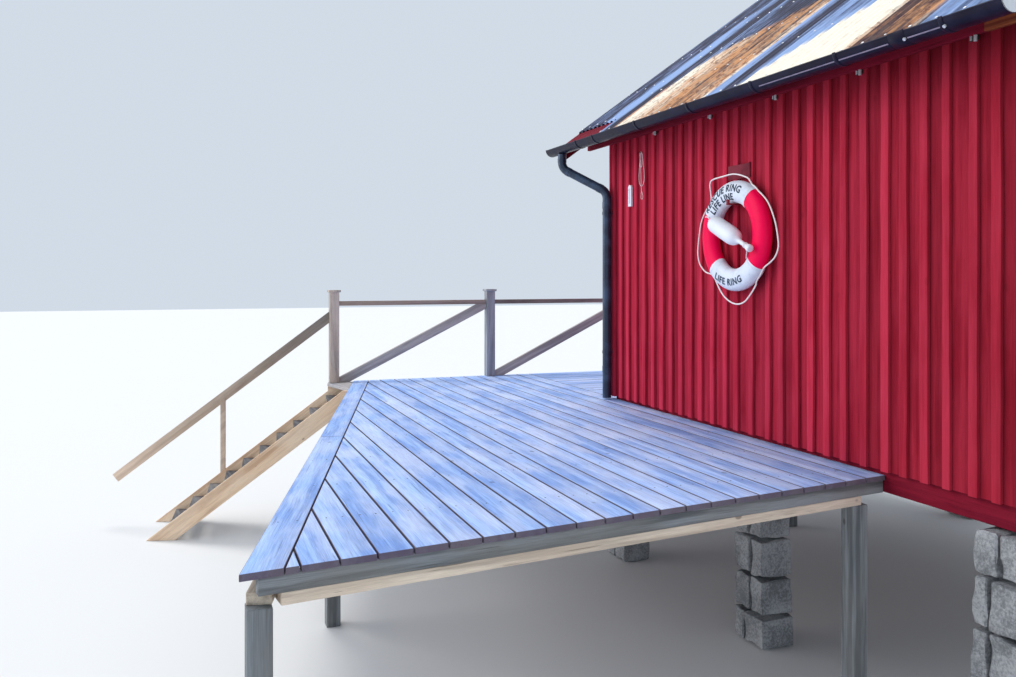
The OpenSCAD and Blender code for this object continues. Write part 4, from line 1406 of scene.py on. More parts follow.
@dataclass
class Cladding(Assembly):
    """Boards with battens over their joints, on all four walls."""

    batten_edges: tuple[float, ...] = (
        0.087, 0.222, 0.355, 0.492, 0.636, 0.780, 0.919, 1.057, 1.201, 1.339, 1.472, 1.630, 1.791,
        1.917, 2.090, 2.270, 2.400, 2.550, 2.686, 2.829, 2.970, 3.130, 3.290, 3.420, 3.560, 3.700,
        3.860, 3.990, 4.150,
    )
    batten_width: float = 0.050
    batten_spread: float = 0.12
    batten_wobble: float = 0.022
    batten_corner: float = 0.1
    board_wobble: float = 0.004
    board_corner: float = 0.02
    board_gap: float = 0.008
    sliver: float = 0.012
    cut_gap: float = 0.001
    pitch: float = 0.1435
    shift: float = 0.006
    depth: float = 0.022
    board_length: float = 4.0
    top_gap: float = 0.002
    # Painted shade on the deck-side wall: its depth under the eaves, where it starts, and how dark the land
    # end gets.
    damp_height: float = 0.30
    damp_start: float = 0.1
    damp_along: float = 0.58

    def build(self) -> None:
        """Makes the wall cores, the boards and the battens."""
        recipe = board_recipe()
        self.cores()
        for number, side in enumerate(Side):
            self.row(recipe, side, number, True)
            self.row(recipe, side, number + 10, False)

    def centres(self, side: Side) -> list[float]:
        """Lists where the battens' centres are along a wall.

        Args:
            side: The wall.

        Returns:
            Distances from the wall's left end in its own plane.
        """
        if not side.gable:
            return [edge - self.batten_width / 2 for edge in self.batten_edges]
        rng = random.Random(11 if side is Side.LAKE else 12)
        count = int(HOUSE.width / self.pitch)
        step = (HOUSE.width - self.batten_width) / count
        inner = [i * step + rng.uniform(-self.shift, self.shift) for i in range(1, count)]
        return [self.batten_width / 2 + place for place in (0.0, *inner, count * step)]

    def row(self, recipe: Recipe, side: Side, seed: int, battens: bool) -> None:
        """Makes one layer of one wall.

        Args:
            recipe: Makes the boards.
            side: The wall.
            seed: Start of its random numbers.
            battens: Whether it is the outer layer.
        """
        rng = random.Random(seed)
        centres = self.centres(side)
        if battens:
            spread = self.batten_spread
            feet = [(c, self.batten_width * rng.uniform(1 - spread, 1 + spread)) for c in centres]
        else:
            feet = [((a + b) / 2, b - a - self.board_gap) for a, b in zip(centres, centres[1:])]
        spans = self.spans(feet) if side is Side.LAKE else [(u, w, HOUSE.wall_bottom) for u, w in feet]
        slope = HOUSE.slope if side.gable else 0.0
        finish = RED_BATTEN if battens else RED_CLADDING
        points = points_mesh([Vector((u, 0, z)) for u, _, z in spans], [w for _, w, _ in spans])
        made = recipe.run(points, finish, {
            "Depth": self.depth, "Height": self.board_length, "Seed": float(seed),
            "Wobble": self.batten_wobble if battens else self.board_wobble,
            "Corner": self.batten_corner if battens else self.board_corner,
            "Line": HOUSE.eaves_top + HOUSE.ridge_y * slope - self.top_gap,
            "Slope": slope, "Ridge": HOUSE.ridge_y if side.gable else HOUSE.length / 2,
        })
        made.transform(self.placing(side, self.depth * (0.5 if battens else 1.5)))
        timber(made, seed + 40, UP)
        # The deck-side wall gets painted shade under the eaves and towards the land end.
        if side is Side.DECK:
            self.darken_damp(made)
        piece(made, f"{side.value}_{'battens' if battens else 'boards'}", finish, smooth=50)

    def darken_damp(self, mesh: Mesh) -> None:
        """Paints shade into the boards' colour: darker right under the eaves and towards the land end.

        Args:
            mesh: Boards or battens of the deck-side wall.
        """
        start = site(0, 0, HOUSE.eaves_top)
        marks = []
        for vertex in mesh.vertices:
            along = within((vertex.co.x - start.x) / HOUSE.length)
            under = within(1.0 - (start.z - vertex.co.z - self.damp_start) / self.damp_height)
            marks.append(self.damp_along * along ** 2.4 + under * (0.2 + 0.4 * along))
        write_marks(mesh, "grime", marks)

    def spans(self, feet: Sequence[Point2]) -> list[Point3]:
        """Starts the lake gable's boards over the doorway at its head.

        Args:
            feet: Centres and widths of the boards.

        Returns:
            Centre, width and foot height of each board.
        """
        door_low, door_high = HOUSE.doorway
        made = []
        for u, w in feet:
            left, right = u - w / 2, u + w / 2
            edges = [left, *(cut for cut in HOUSE.doorway if left < cut < right), right]
            gap = self.cut_gap if len(edges) > 2 else 0.0
            for a, b in zip(edges, edges[1:]):
                if b - a > self.sliver:
                    over_door = door_low <= a and b <= door_high
                    low = HOUSE.door_head if over_door else HOUSE.wall_bottom
                    made.append(((a + b) / 2, b - a - gap, low))
        return made

    def placing(self, side: Side, inset: float) -> Matrix:
        """Gives the move from a wall's own plane to its place.

        Args:
            side: The wall.
            inset: Distance of the layer's middle from the wall's outer face.

        Returns:
            The matrix.
        """
        if side.gable:
            x = inset if side is Side.LAKE else HOUSE.length - inset
            return Matrix.Translation(site(x, 0, 0)) @ Matrix.Rotation(math.radians(90), 4, "Z")
        return Matrix.Translation(site(0, inset if side is Side.DECK else HOUSE.width - inset, 0))

    def cores(self) -> None:
        """Makes the studs' layer behind the boards, as in the frame."""
        clad, thick, low = HOUSE.cladding, HOUSE.thickness, HOUSE.wall_bottom
        far, (left, right) = HOUSE.width - thick, HOUSE.doorway
        depth = Vector((thick - clad, 0, 0))
        eaves, land, lake = Shape(), Shape(), Shape()
        for y0, y1 in ((clad, thick), (far, HOUSE.width - clad)):
            eaves.box(site(clad, y0, low), site(HOUSE.length - clad, y1, HOUSE.under_roof(clad)))
        land.prism(self.gable(HOUSE.length - thick, thick, far, low), depth)
        for y0, y1, z in ((thick, left, low), (right, far, low), (left, right, HOUSE.door_head)):
            lake.prism(self.gable(clad, y0, y1, z), depth)
        for seed, shape, name, nodes in (
            (71, eaves, "eaves_cores", ["front_wall", "back_wall"]),
            (72, land, "land_core", ["land_gable_wall"]),
            (73, lake, "lake_core", ["lake_gable_left", "lake_gable_right", "lake_gable_top"]),
        ):
            piece(timber(shape, seed, UP), name, BARE_WOOD, nodes)

    @staticmethod
    def gable(x: float, y0: float, y1: float, low: float) -> list[Vector]:
        """Outlines a part of a gable.

        Args:
            x: Its distance along the building.
            y0: Its near side, as a distance from the deck-side wall.
            y1: Its far side.
            low: Height of its foot.

        Returns:
            The corners.
        """
        tops = [y1, HOUSE.ridge_y, y0] if y0 < HOUSE.ridge_y < y1 else [y1, y0]
        points = [(y0, low), (y1, low)] + [(y, HOUSE.under_roof(y)) for y in tops]
        return [site(x, y, z) for y, z in points]


@dataclass
class GableDoor(Assembly):
    """Plain boarded double door in the lake gable."""

    face: float = 0.022
    thickness: float = 0.042
    board_share: float = 0.55
    low: float = 1.3690
    high: float = 3.3110
    middle: float = 2.0
    half: float = 0.65
    gap: float = 0.004
    boards: int = 5
    board_gap: float = 0.003
    edge: float = 0.003
    ledge_heights: tuple[float, ...] = (0.25, 0.95, 1.65)
    ledge_width: float = 0.12
    strap_heights: tuple[float, ...] = (0.31, 1.71)
    strap_reach: Point2 = (0.16, 0.645)
    strap_half: float = 0.02
    strap_thickness: float = 0.004
    pin_y: float = 0.647
    pin_half: float = 0.03
    pin_radius: float = 0.007
    pull_y: float = 0.05
    pull_height: float = 0.98
    pull_radius: float = 0.004
    pull_bend: tuple[Point2, ...] = (
        (0.0, 0.0), (0.014, 0.006), (0.018, 0.03), (0.018, 0.12), (0.014, 0.144), (0.0, 0.15),
    )

    def at(self, out: float, y: float, z: float) -> Vector:
        """Gives a point by its distances out of the door's face, from its middle and above its foot."""
        return site(self.face - out, self.middle + y, self.low + z)

    def slab(self, shape: Shape, sign: int, outs: Point2, reach: Point2, heights: Point2) -> None:
        """Adds a box to one leaf.

        Args:
            shape: Takes the box.
            sign: The leaf's side.
            outs: Its outer and inner distances out of the door's face.
            reach: Its distances from the door's middle.
            heights: Its lowest and highest places above the door's foot.
        """
        near, far = sorted(sign * place for place in reach)
        shape.box(self.at(outs[0], near, heights[0]), self.at(outs[1], far, heights[1]))

    def build(self) -> None:
        """Makes the boards and the ledges of both leaves."""
        boards, ledges = Shape(), Shape()
        start, end = self.gap / 2, self.half - self.gap
        step = (end - start) / self.boards
        back = -self.thickness * self.board_share
        for sign in (-1, 1):
            for i in range(self.boards):
                reach = (start + i * step, start + (i + 1) * step - self.board_gap)
                self.slab(boards, sign, (0.0, back), reach, (0.0, self.high - self.low))
            for z in self.ledge_heights:
                ends = (z, z + self.ledge_width)
                self.slab(ledges, sign, (back, -self.thickness), (self.gap, self.half - self.gap), ends)
        piece(timber(boards.bevel(self.edge), 81, UP), "door_boards", RED_CLADDING, ["door_leaves"])
        piece(timber(ledges.bevel(self.edge), 82), "door_ledges", RED_CLADDING)

    def dress(self) -> None:
        """Adds strap hinges and two pulls."""
        iron = Shape()
        for sign in (-1, 1):
            for z in self.strap_heights:
                ends = (z - self.strap_half, z + self.strap_half)
                self.slab(iron, sign, (self.strap_thickness, 0.0), self.strap_reach, ends)
                pin = [self.at(self.pin_radius, sign * self.pin_y, z + d * self.pin_half) for d in (-1, 0, 1)]
                iron.sweep(circle(self.pin_radius, 10), pin, ALONG)
        for y in (-self.pull_y, self.pull_y):
            pull = [self.at(out, y, self.pull_height + z) for out, z in self.pull_bend]
            iron.sweep(circle(self.pull_radius, 8), pull, ACROSS)
        piece(iron, "door_iron", IRON, smooth=50)


@dataclass
class RoofBoards(Assembly):
    """Boards under the sheets, along the building."""

    width: float = 0.118
    gap: float = 0.002
    thickness: float = 0.0215
    ridge_gap: float = 0.018
    edge: float = 0.002

    def build(self) -> None:
        """Lays the boards of both slopes."""
        up = math.cos(HOUSE.pitch)
        low, high = -HOUSE.overhang / up, HOUSE.ridge_y / up - self.ridge_gap
        count = round((high - low) / (self.width + self.gap))
        step = (high - low) / count
        start = -HOUSE.lake_verge + HOUSE.trim
        run = Vector((HOUSE.length + HOUSE.land_verge - HOUSE.trim - start, 0, 0))
        for back, node in enumerate(("front_boarding", "back_boarding")):
            shape = Shape()
            for i in range(count):
                a, b = low + i * step, low + (i + 1) * step - self.gap
                corners = ((a, 0.0), (b, 0.0), (b, self.thickness), (a, self.thickness))
                shape.prism([HOUSE.on_slope(start, s, h, bool(back)) for s, h in corners], run)
            piece(timber(shape.bevel(self.edge, 1), 91 + back), node + "_boards", DARK_RED, [node])


@dataclass
class RoofSheets(Assembly):
    """Corrugated sheets, lapped and nailed through their crests."""

    sheets: int = 6
    waves: int = 10
    thickness: float = 0.0016
    steps: int = 14
    rows: int = 14
    drip: float = 0.045
    short: float = 0.20
    lap_lift: float = 0.0023
    ridge_gap: float = 0.0003
    nail_rows: tuple[float, ...] = (0.035, 0.62, 1.20, 1.78, 2.36)
    nail_radius: float = 0.009
    nail_height: float = 0.0035
    back_shift: float = 1.7
    bands: tuple[Point3, ...] = (
        (-0.39, 0.22, 0.30), (0.12, 0.18, 0.35), (0.20, 0.0, 1.0), (0.42, 0.0, 1.0), (0.50, 0.05, 0.1),
        (0.64, 0.20, 0.05), (0.74, 0.80, 0.80), (1.05, 0.95, 0.55), (1.50, 0.95, 0.35), (1.92, 0.90, 0.45),
        (2.02, 0.30, 0.85), (2.13, 0.10, 0.80), (2.20, 0.05, 0.20), (2.31, 0.08, 0.12), (2.37, 0.98, 1.10),
        (3.20, 0.98, 1.05), (3.36, 1.00, 0.20), (3.70, 0.95, 0.25), (3.84, 0.20, 0.55), (4.35, 0.30, 0.45),
    )
    reach: tuple[Point2, ...] = (
        (-0.39, 3.0), (0.62, 0.45), (1.10, 0.85), (2.02, 1.25), (2.10, 0.0), (2.33, -0.30), (2.86, 0.40),
        (3.20, 0.95), (4.35, 2.40),
    )

    @property
    def cover(self) -> float:
        """Width that a sheet covers, without its lap."""
        return (HOUSE.length + HOUSE.lake_verge + HOUSE.land_verge) / self.sheets

    @property
    def wave(self) -> float:
        """Width of one wave."""
        return self.cover / self.waves

    def start(self, index: int) -> float:
        """Gives where a sheet starts along the building."""
        return -HOUSE.lake_verge + (index - 1) * self.cover

    def lift(self, index: int) -> float:
        """Gives the height of a sheet's troughs over the underside of the boards."""
        return HOUSE.boarding + (self.lap_lift if index % 2 == 0 else 0.0)

    def build(self) -> None:
        """Makes every sheet."""
        every = range(1, self.sheets + 1)
        for index in every:
            mesh = self.sheet([index], False)
            piece(mesh, f"corrugated_sheet_{index}", FRONT_SHEET, [f"front_sheet_{index}"], 60)
        piece(self.sheet(every, True), "corrugated_sheets_back", BACK_SHEET, ["back_sheets"], 60)

    def span(self, index: int, back: bool) -> Point2:
        """Gives where a sheet starts and ends along the slope.

        Args:
            index: Its number, counted from the lake.
            back: Whether it is on the slope away from the deck.

        Returns:
            Both distances up the slope from the wall's outer face.
        """
        up = math.cos(HOUSE.pitch)
        lean = HOUSE.boarding * HOUSE.slope
        short = self.short if index == 1 and not back else 0.0
        low = (-HOUSE.overhang - HOUSE.trim - self.drip + short) / up + lean
        return low, (HOUSE.ridge_y - self.ridge_gap) / up + lean

    def weather(self, x: float, along: float, back: bool) -> Point2:
        """Gives the share of rust and the tone at a place on the roof.

        Args:
            x: Distance along the building.
            along: Distance up the slope from the wall's outer face.
            back: Whether it is the slope away from the deck, which has the same bands shifted.

        Returns:
            The share of rust and the tone, both about 0 to 1.
        """
        if back:
            x = -HOUSE.lake_verge + (x + self.back_shift) % (self.cover * self.sheets)
        low, high = self.around(self.bands, x)
        share = within((x - low[0]) / (high[0] - low[0]))
        rust, tone = (p + (q - p) * share for p, q in zip(low[1:], high[1:]))
        near, far = self.around(self.reach, x)
        top = near[1] + (far[1] - near[1]) * (x - near[0]) / (far[0] - near[0])
        keep = within((top - along) / 0.45 + 0.5)
        return rust * keep + 0.12 * (1 - keep), tone * keep + (0.16 + 0.4 * tone) * (1 - keep)

    @staticmethod
    def around(table: Sequence[tuple], x: float) -> tuple[tuple, tuple]:
        """Finds the two rows of a table whose first numbers lie on each side of x."""
        return next((p, q) for p, q in zip(table, table[1:]) if x <= q[0] + 1e-6)

    def sheet(self, indices: Iterable[int], back: bool) -> Mesh:
        """Makes the mesh of one or more sheets.

        Args:
            indices: Their numbers, counted from the lake.
            back: Whether they lie on the slope away from the deck.

        Returns:
            The mesh, with attributes for rust and tone.
        """
        shape = Shape()
        rust = shape.bm.verts.layers.float.new("rust")
        tone = shape.bm.verts.layers.float.new("tone")
        for index in indices:
            rng = random.Random(index * 7 + back)
            low, high = self.span(index, back)
            waves = self.waves + (1 if index < self.sheets else 0)
            shade = rng.uniform(-0.05, 0.05)
            layers = []
            for extra in (0.0, self.thickness):
                grid = []
                for i in range(waves * self.steps + 1):
                    x = self.start(index) + i * self.wave / self.steps
                    crest = HOUSE.wave_depth / 2 * (1 - math.cos(math.tau * i / self.steps))
                    places = [low + (high - low) * j / self.rows for j in range(self.rows + 1)]
                    height = self.lift(index) + crest + extra
                    column = shape.ring(HOUSE.on_slope(x, s, height, back) for s in places)
                    for vert, s in zip(column, places):
                        vert[rust], light = self.weather(x, s, back)
                        vert[tone] = light + shade
                    grid.append(column)
                layers.append(grid)
            self.skin(shape, *layers)
        return shape.mesh()

    def skin(self, shape: Shape, under: Sequence, upper: Sequence) -> None:
        """Joins the two grids of a sheet into one solid.

        Args:
            shape: Takes the faces.
            under: Columns of vertices on the sheet's underside.
            upper: The same on its upper side.
        """
        new = shape.bm.faces.new
        columns, rows = len(under) - 1, self.rows
        for i in range(columns):
            for j in range(rows):
                new((under[i][j], under[i][j + 1], under[i + 1][j + 1], under[i + 1][j]))
                new((upper[i][j], upper[i + 1][j], upper[i + 1][j + 1], upper[i][j + 1]))
            new((under[i][0], under[i + 1][0], upper[i + 1][0], upper[i][0]))
            new((under[i + 1][rows], under[i][rows], upper[i][rows], upper[i + 1][rows]))
        for j in range(rows):
            new((under[0][j + 1], under[0][j], upper[0][j], upper[0][j + 1]))
            new((under[columns][j], under[columns][j + 1], upper[columns][j + 1], upper[columns][j]))

    def dress(self) -> None:
        """Nails the sheets through every second crest."""
        recipe = head_recipe()
        for back, side in enumerate(("front", "back")):
            places = []
            for index in range(1, self.sheets + 1):
                low, high = self.span(index, bool(back))
                lift = self.lift(index) + HOUSE.wave_depth + self.thickness
                for row in self.nail_rows:
                    if low + row < high - 0.1:
                        xs = [self.start(index) + (k + 0.5) * self.wave for k in range(0, self.waves, 2)]
                        places += [HOUSE.on_slope(x, low + row, lift, bool(back)) for x in xs]
            mesh = recipe.run(points_mesh(places), ZINC, {
                "Radius": self.nail_radius, "Height": self.nail_height, "Seed": 5 + back,
                "Lean": -HOUSE.pitch if back else HOUSE.pitch,
            })
            piece(mesh, f"sheet_nails_{side}", ZINC, smooth=60, slot=FRONT_SHEET.slot)


@dataclass
class RidgeCap(Assembly):
    """Folded ridge cap in lapped lengths with rolled edges."""

    wing: float = 0.15
    thickness: float = 0.0015
    clearance: float = 0.0046
    lap: float = 0.06
    lap_lift: float = 0.002
    tones: tuple[float, ...] = (0.3, 0.6, 0.45)
    rusts: tuple[float, ...] = (0.35, 0.2, 0.45)

    def build(self) -> None:
        """Folds each length over the ridge."""
        shape = Shape()
        tone = shape.bm.verts.layers.float.new("tone")
        rust = shape.bm.verts.layers.float.new("rust")
        low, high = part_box("ridge_cap")
        lengths = len(self.tones)
        step = (high.x - low.x) / lengths
        for i in range(lengths):
            x0 = low.x + i * step
            x1 = min(high.x, x0 + step + (self.lap if i < lengths - 1 else 0.0))
            lift = HOUSE.boarding + HOUSE.wave_depth + self.clearance + (self.lap_lift if i % 2 else 0.0)
            before = len(shape.bm.verts)
            shape.prism([Vector((x0, p.y, p.z)) for p in self.section(lift)], Vector((x1 - x0, 0, 0)))
            shape.bm.verts.ensure_lookup_table()
            for vert in shape.bm.verts[before:]:
                vert[tone] = self.tones[i]
                vert[rust] = self.rusts[i]
        piece(shape, "folded_cap", FRONT_SHEET, ["ridge_cap"], 50)

    def section(self, lift: float) -> list[Vector]:
        """Outlines the cap across the ridge.

        Args:
            lift: Height of its underside over the underside of the roof's boards.

        Returns:
            The corners.
        """
        top = HOUSE.ridge_y / math.cos(HOUSE.pitch)
        low, fold, upper = top - self.wing, top - 0.02, lift + self.thickness
        under = [(low, lift), (fold, lift)]
        over = [(fold, upper), (low + 0.004, upper), (low, lift + 0.002)]
        left = [HOUSE.on_slope(0, s, h) for s, h in under]
        right = [HOUSE.on_slope(0, s, h, True) for s, h in reversed(under)]
        back = [HOUSE.on_slope(0, s, h, True) for s, h in reversed(over)]
        front = [HOUSE.on_slope(0, s, h) for s, h in over]
        middle = site(0, HOUSE.ridge_y, 0).y
        peak = left[-1].z + (middle - left[-1].y) * HOUSE.slope * 0.9
        crowns = [[Vector((0, middle, z))] for z in (peak, peak + self.thickness)]
        return left + crowns[0] + right + back + crowns[1] + front


@dataclass
class Gutters(Assembly):
    """Half-round gutters with a rolled front bead, end caps, sleeve and strap brackets."""

    radius: float = 0.0625
    wall: float = 0.0016
    bead: float = 0.009
    steps: int = 20
    ends: Point2 = (-0.49, 4.35)
    cap: float = 0.003
    y: float = -0.3388
    z: float = 3.55057
    strap_xs: tuple[float, ...] = (0.1498, 0.478, 1.195, 1.925, 2.632, 3.353, 4.034)
    strap_half: float = 0.0125
    strap_thickness: float = 0.0035
    strap_steps: int = 14
    tab: Point2 = (-0.03, 0.02)
    sleeve_x: float = 3.77
    sleeve_half: float = 0.05
    sleeve_step: float = 0.002
    rivet_radius: float = 0.008
    # Angle of the painted highlight round the gutter, which the rivets share, its half width in degrees, its
    # thickness and its spans along the eaves.
    wear_angle: float = 42.0
    wear_half: float = 3.0
    wear_thickness: float = 0.0009
    wear_spans: tuple[Point2, ...] = ((2.70, 3.355), (3.37, 3.71), (3.83, 4.02))

    def half_round(self, outer: float, inner: float) -> list[Point2]:
        """Outlines a half-round strip as distances out and up from the middle of the gutter's mouth."""
        return arc(outer, 180.0, 360.0, self.steps) + arc(inner, 360.0, 180.0, self.steps)

    def run(self, shape: Shape, section: Sequence[Point2], x0: float, x1: float, back: int = 0) -> None:
        """Pushes a section along the eaves.

        Args:
            shape: Takes the solid.
            section: Distances out and up from the middle of the gutter's mouth.
            x0: Where it starts along the building.
            x1: Where it ends.
            back: Whether it is at the eaves away from the deck.
        """
        ys = [HOUSE.width - self.y + out if back else self.y - out for out, _ in section]
        points = [site(x0, y, self.z + up) for y, (_, up) in zip(ys, section)]
        shape.prism(points, Vector((x1 - x0, 0, 0)))

    def build(self) -> None:
        """Makes the troughs and their caps."""
        troughs, caps = Shape(), Shape()
        x0, x1 = self.ends
        plain = self.half_round(self.radius, self.radius - self.wall)
        roll = [
            (self.radius - self.bead + a, b * 0.95 - self.bead) for a, b in arc(self.bead, 0.0, 270.0, 9)
        ]
        beaded = plain[:self.steps] + roll + plain[self.steps + 2:]
        disc = arc(self.radius, 180.0, 360.0, self.steps)
        for back in (0, 1):
            self.run(troughs, beaded, x0, x1, back)
            self.run(troughs, disc, x0, x0 + self.cap, back)
            self.run(caps, disc, x1 - self.cap, x1, back)
        piece(troughs, "gutter_troughs", GUTTER_STEEL, ["gutters"], 50)
        piece(caps, "gutter_end_caps", ZINC)

    def dress(self) -> None:
        """Adds the strap brackets, the sleeve over the joint, its rivets and the painted highlight lines."""
        self.straps()
        rivets, wear = Shape(), Shape()
        out, down = arc(1.0, -self.wear_angle, 0.0, 1)[0]
        for x in (self.sleeve_x + 0.045, self.strap_xs[-1] + 0.012):
            reach = (self.radius - 0.002, self.radius + 0.008)
            line = [site(x, self.y - out * r, self.z + down * r) for r in reach]
            rivets.sweep(circle(self.rivet_radius, 12), line, ALONG)
        # Pale strips along the gutter's face: a painted highlight of the sun on its curve.
        turns = (self.wear_half - self.wear_angle, -self.wear_half - self.wear_angle)
        strip = arc(self.radius + self.wear_thickness, *turns, 2) + arc(self.radius, *reversed(turns), 2)
        for x0, x1 in self.wear_spans:
            self.run(wear, strip, x0, x1)
        piece(wear, "gutter_painted_highlight", GUTTER_HIGHLIGHT, smooth=50)
        piece(rivets, "gutter_rivets", ZINC, smooth=50)

    def straps(self) -> None:
        """Bends the straps round the gutters, with a tab at the wall, and adds the sleeves."""
        shape = Shape()
        outer = self.radius + self.strap_thickness
        low, high = self.tab
        band = arc(outer, 180.0, 360.0, self.strap_steps)
        band += [(a * 0.955, b * 0.955) for a, b in reversed(band)]
        tab = [(-outer, low), (-self.radius, low), (-self.radius, high), (-outer, high)]
        sleeve = self.half_round(self.radius + self.sleeve_step, self.radius - self.sleeve_step)
        for back in (0, 1):
            for x in self.strap_xs:
                for section in (band, tab):
                    self.run(shape, section, x - self.strap_half, x + self.strap_half, back)
            self.run(shape, sleeve, self.sleeve_x - self.sleeve_half, self.sleeve_x + self.sleeve_half, back)
        piece(shape.bevel(0.0008, 1), "gutter_straps", GUTTER_STEEL, ["gutter_brackets"], 50)


@dataclass
class Downpipes(Assembly):
    """Round pipes with a swan neck, joint rings and wall clips."""

    radius: float = 0.0375
    sides: int = 28
    outlet: Point2 = (-0.26, -0.3388)
    foot: Point2 = (0.0475, -0.0495)
    top: float = 3.4877
    bend_top: float = 3.4178
    bottom: float = 1.352
    bend: float = 0.095
    bend_steps: int = 8
    fall: float = math.radians(62.0)
    ring_step: float = 0.0022
    ring_half: float = 0.028
    ring_heights: tuple[float, ...] = (1.60, 3.02)
    sleeve_reach: Point2 = (-0.004, 0.03)
    clip_step: float = 0.003
    clip_half: float = 0.0125
    clip_heights: tuple[float, ...] = (1.75, 2.95)
    arm_half: float = 0.006

    def paths(self) -> list[list[Vector]]:
        """Lists the points of both pipes' middle lines.

        Returns:
            A line for each pipe, from the outlet to the foot.
        """
        start, end = Vector((*self.outlet, 0.0)), Vector((*self.foot, 0.0))
        run, out = (end - start).length, (end - start).normalized()
        turns = [self.fall * i / self.bend_steps for i in range(1, self.bend_steps + 1)]
        bends = [(self.bend * (1 - math.cos(turn)), self.bend * math.sin(turn)) for turn in turns]
        shift, drop = bends[-1]
        low = self.bend_top - drop - (run - 2 * shift) / math.tan(self.fall)
        line = [(0.0, self.top), (0.0, self.bend_top)]
        line += [(a, self.bend_top - b) for a, b in bends] + [(run - shift, low)]
        line += [(run - a, low - drop + b) for a, b in [*reversed(bends[:-1]), (0.0, 0.0)]]
        line.append((run, self.bottom))
        front = [site(start.x + out.x * a, start.y + out.y * a, z) for a, z in line]
        middle = WALL_CORNER.y + HOUSE.ridge_y
        return [front, [Vector((p.x, 2 * middle - p.y, p.z)) for p in front]]

    def build(self) -> None:
        """Sweeps both pipes."""
        shape = Shape()
        for path in self.paths():
            shape.sweep(circle(self.radius, self.sides), path, ACROSS)
        piece(shape, "swept_downpipes", PIPE_STEEL, ["downpipes"], 50)

    def collar(self, shape: Shape, line: Sequence[Vector], step: float) -> None:
        """Puts a round collar over a pipe.

        Args:
            shape: Takes the collar.
            line: Its two ends.
            step: Its thickness.
        """
        shape.sweep(circle(self.radius + step, self.sides), line, ACROSS)

    def dress(self) -> None:
        """Adds joint rings and the clips that hold the pipes to the wall."""
        shape = Shape()
        bend_end = self.bend_steps + 1
        for path, face, inward in zip(self.paths(), (0.0, HOUSE.width), (1.0, -1.0)):
            foot = path[-1]
            for z in self.ring_heights:
                line = [Vector((foot.x, foot.y, z + d)) for d in (-self.ring_half, self.ring_half)]
                self.collar(shape, line, self.ring_step)
            for near, far in ((1, 0), (bend_end, bend_end + 1), (bend_end + 1, bend_end)):
                along = (path[far] - path[near]).normalized()
                self.collar(shape, [path[near] + along * d for d in self.sleeve_reach], self.ring_step)
            for z in self.clip_heights:
                low, high = z - self.clip_half, z + self.clip_half
                self.collar(shape, [Vector((foot.x, foot.y, end)) for end in (low, high)], self.clip_step)
                near, far = sorted((foot.y + inward * self.radius, WALL_CORNER.y + face))
                shape.box(
                    Vector((foot.x - self.arm_half, near, low)), Vector((foot.x + self.arm_half, far, high))
                )
        piece(shape, "pipe_rings", PIPE_STEEL, smooth=50)


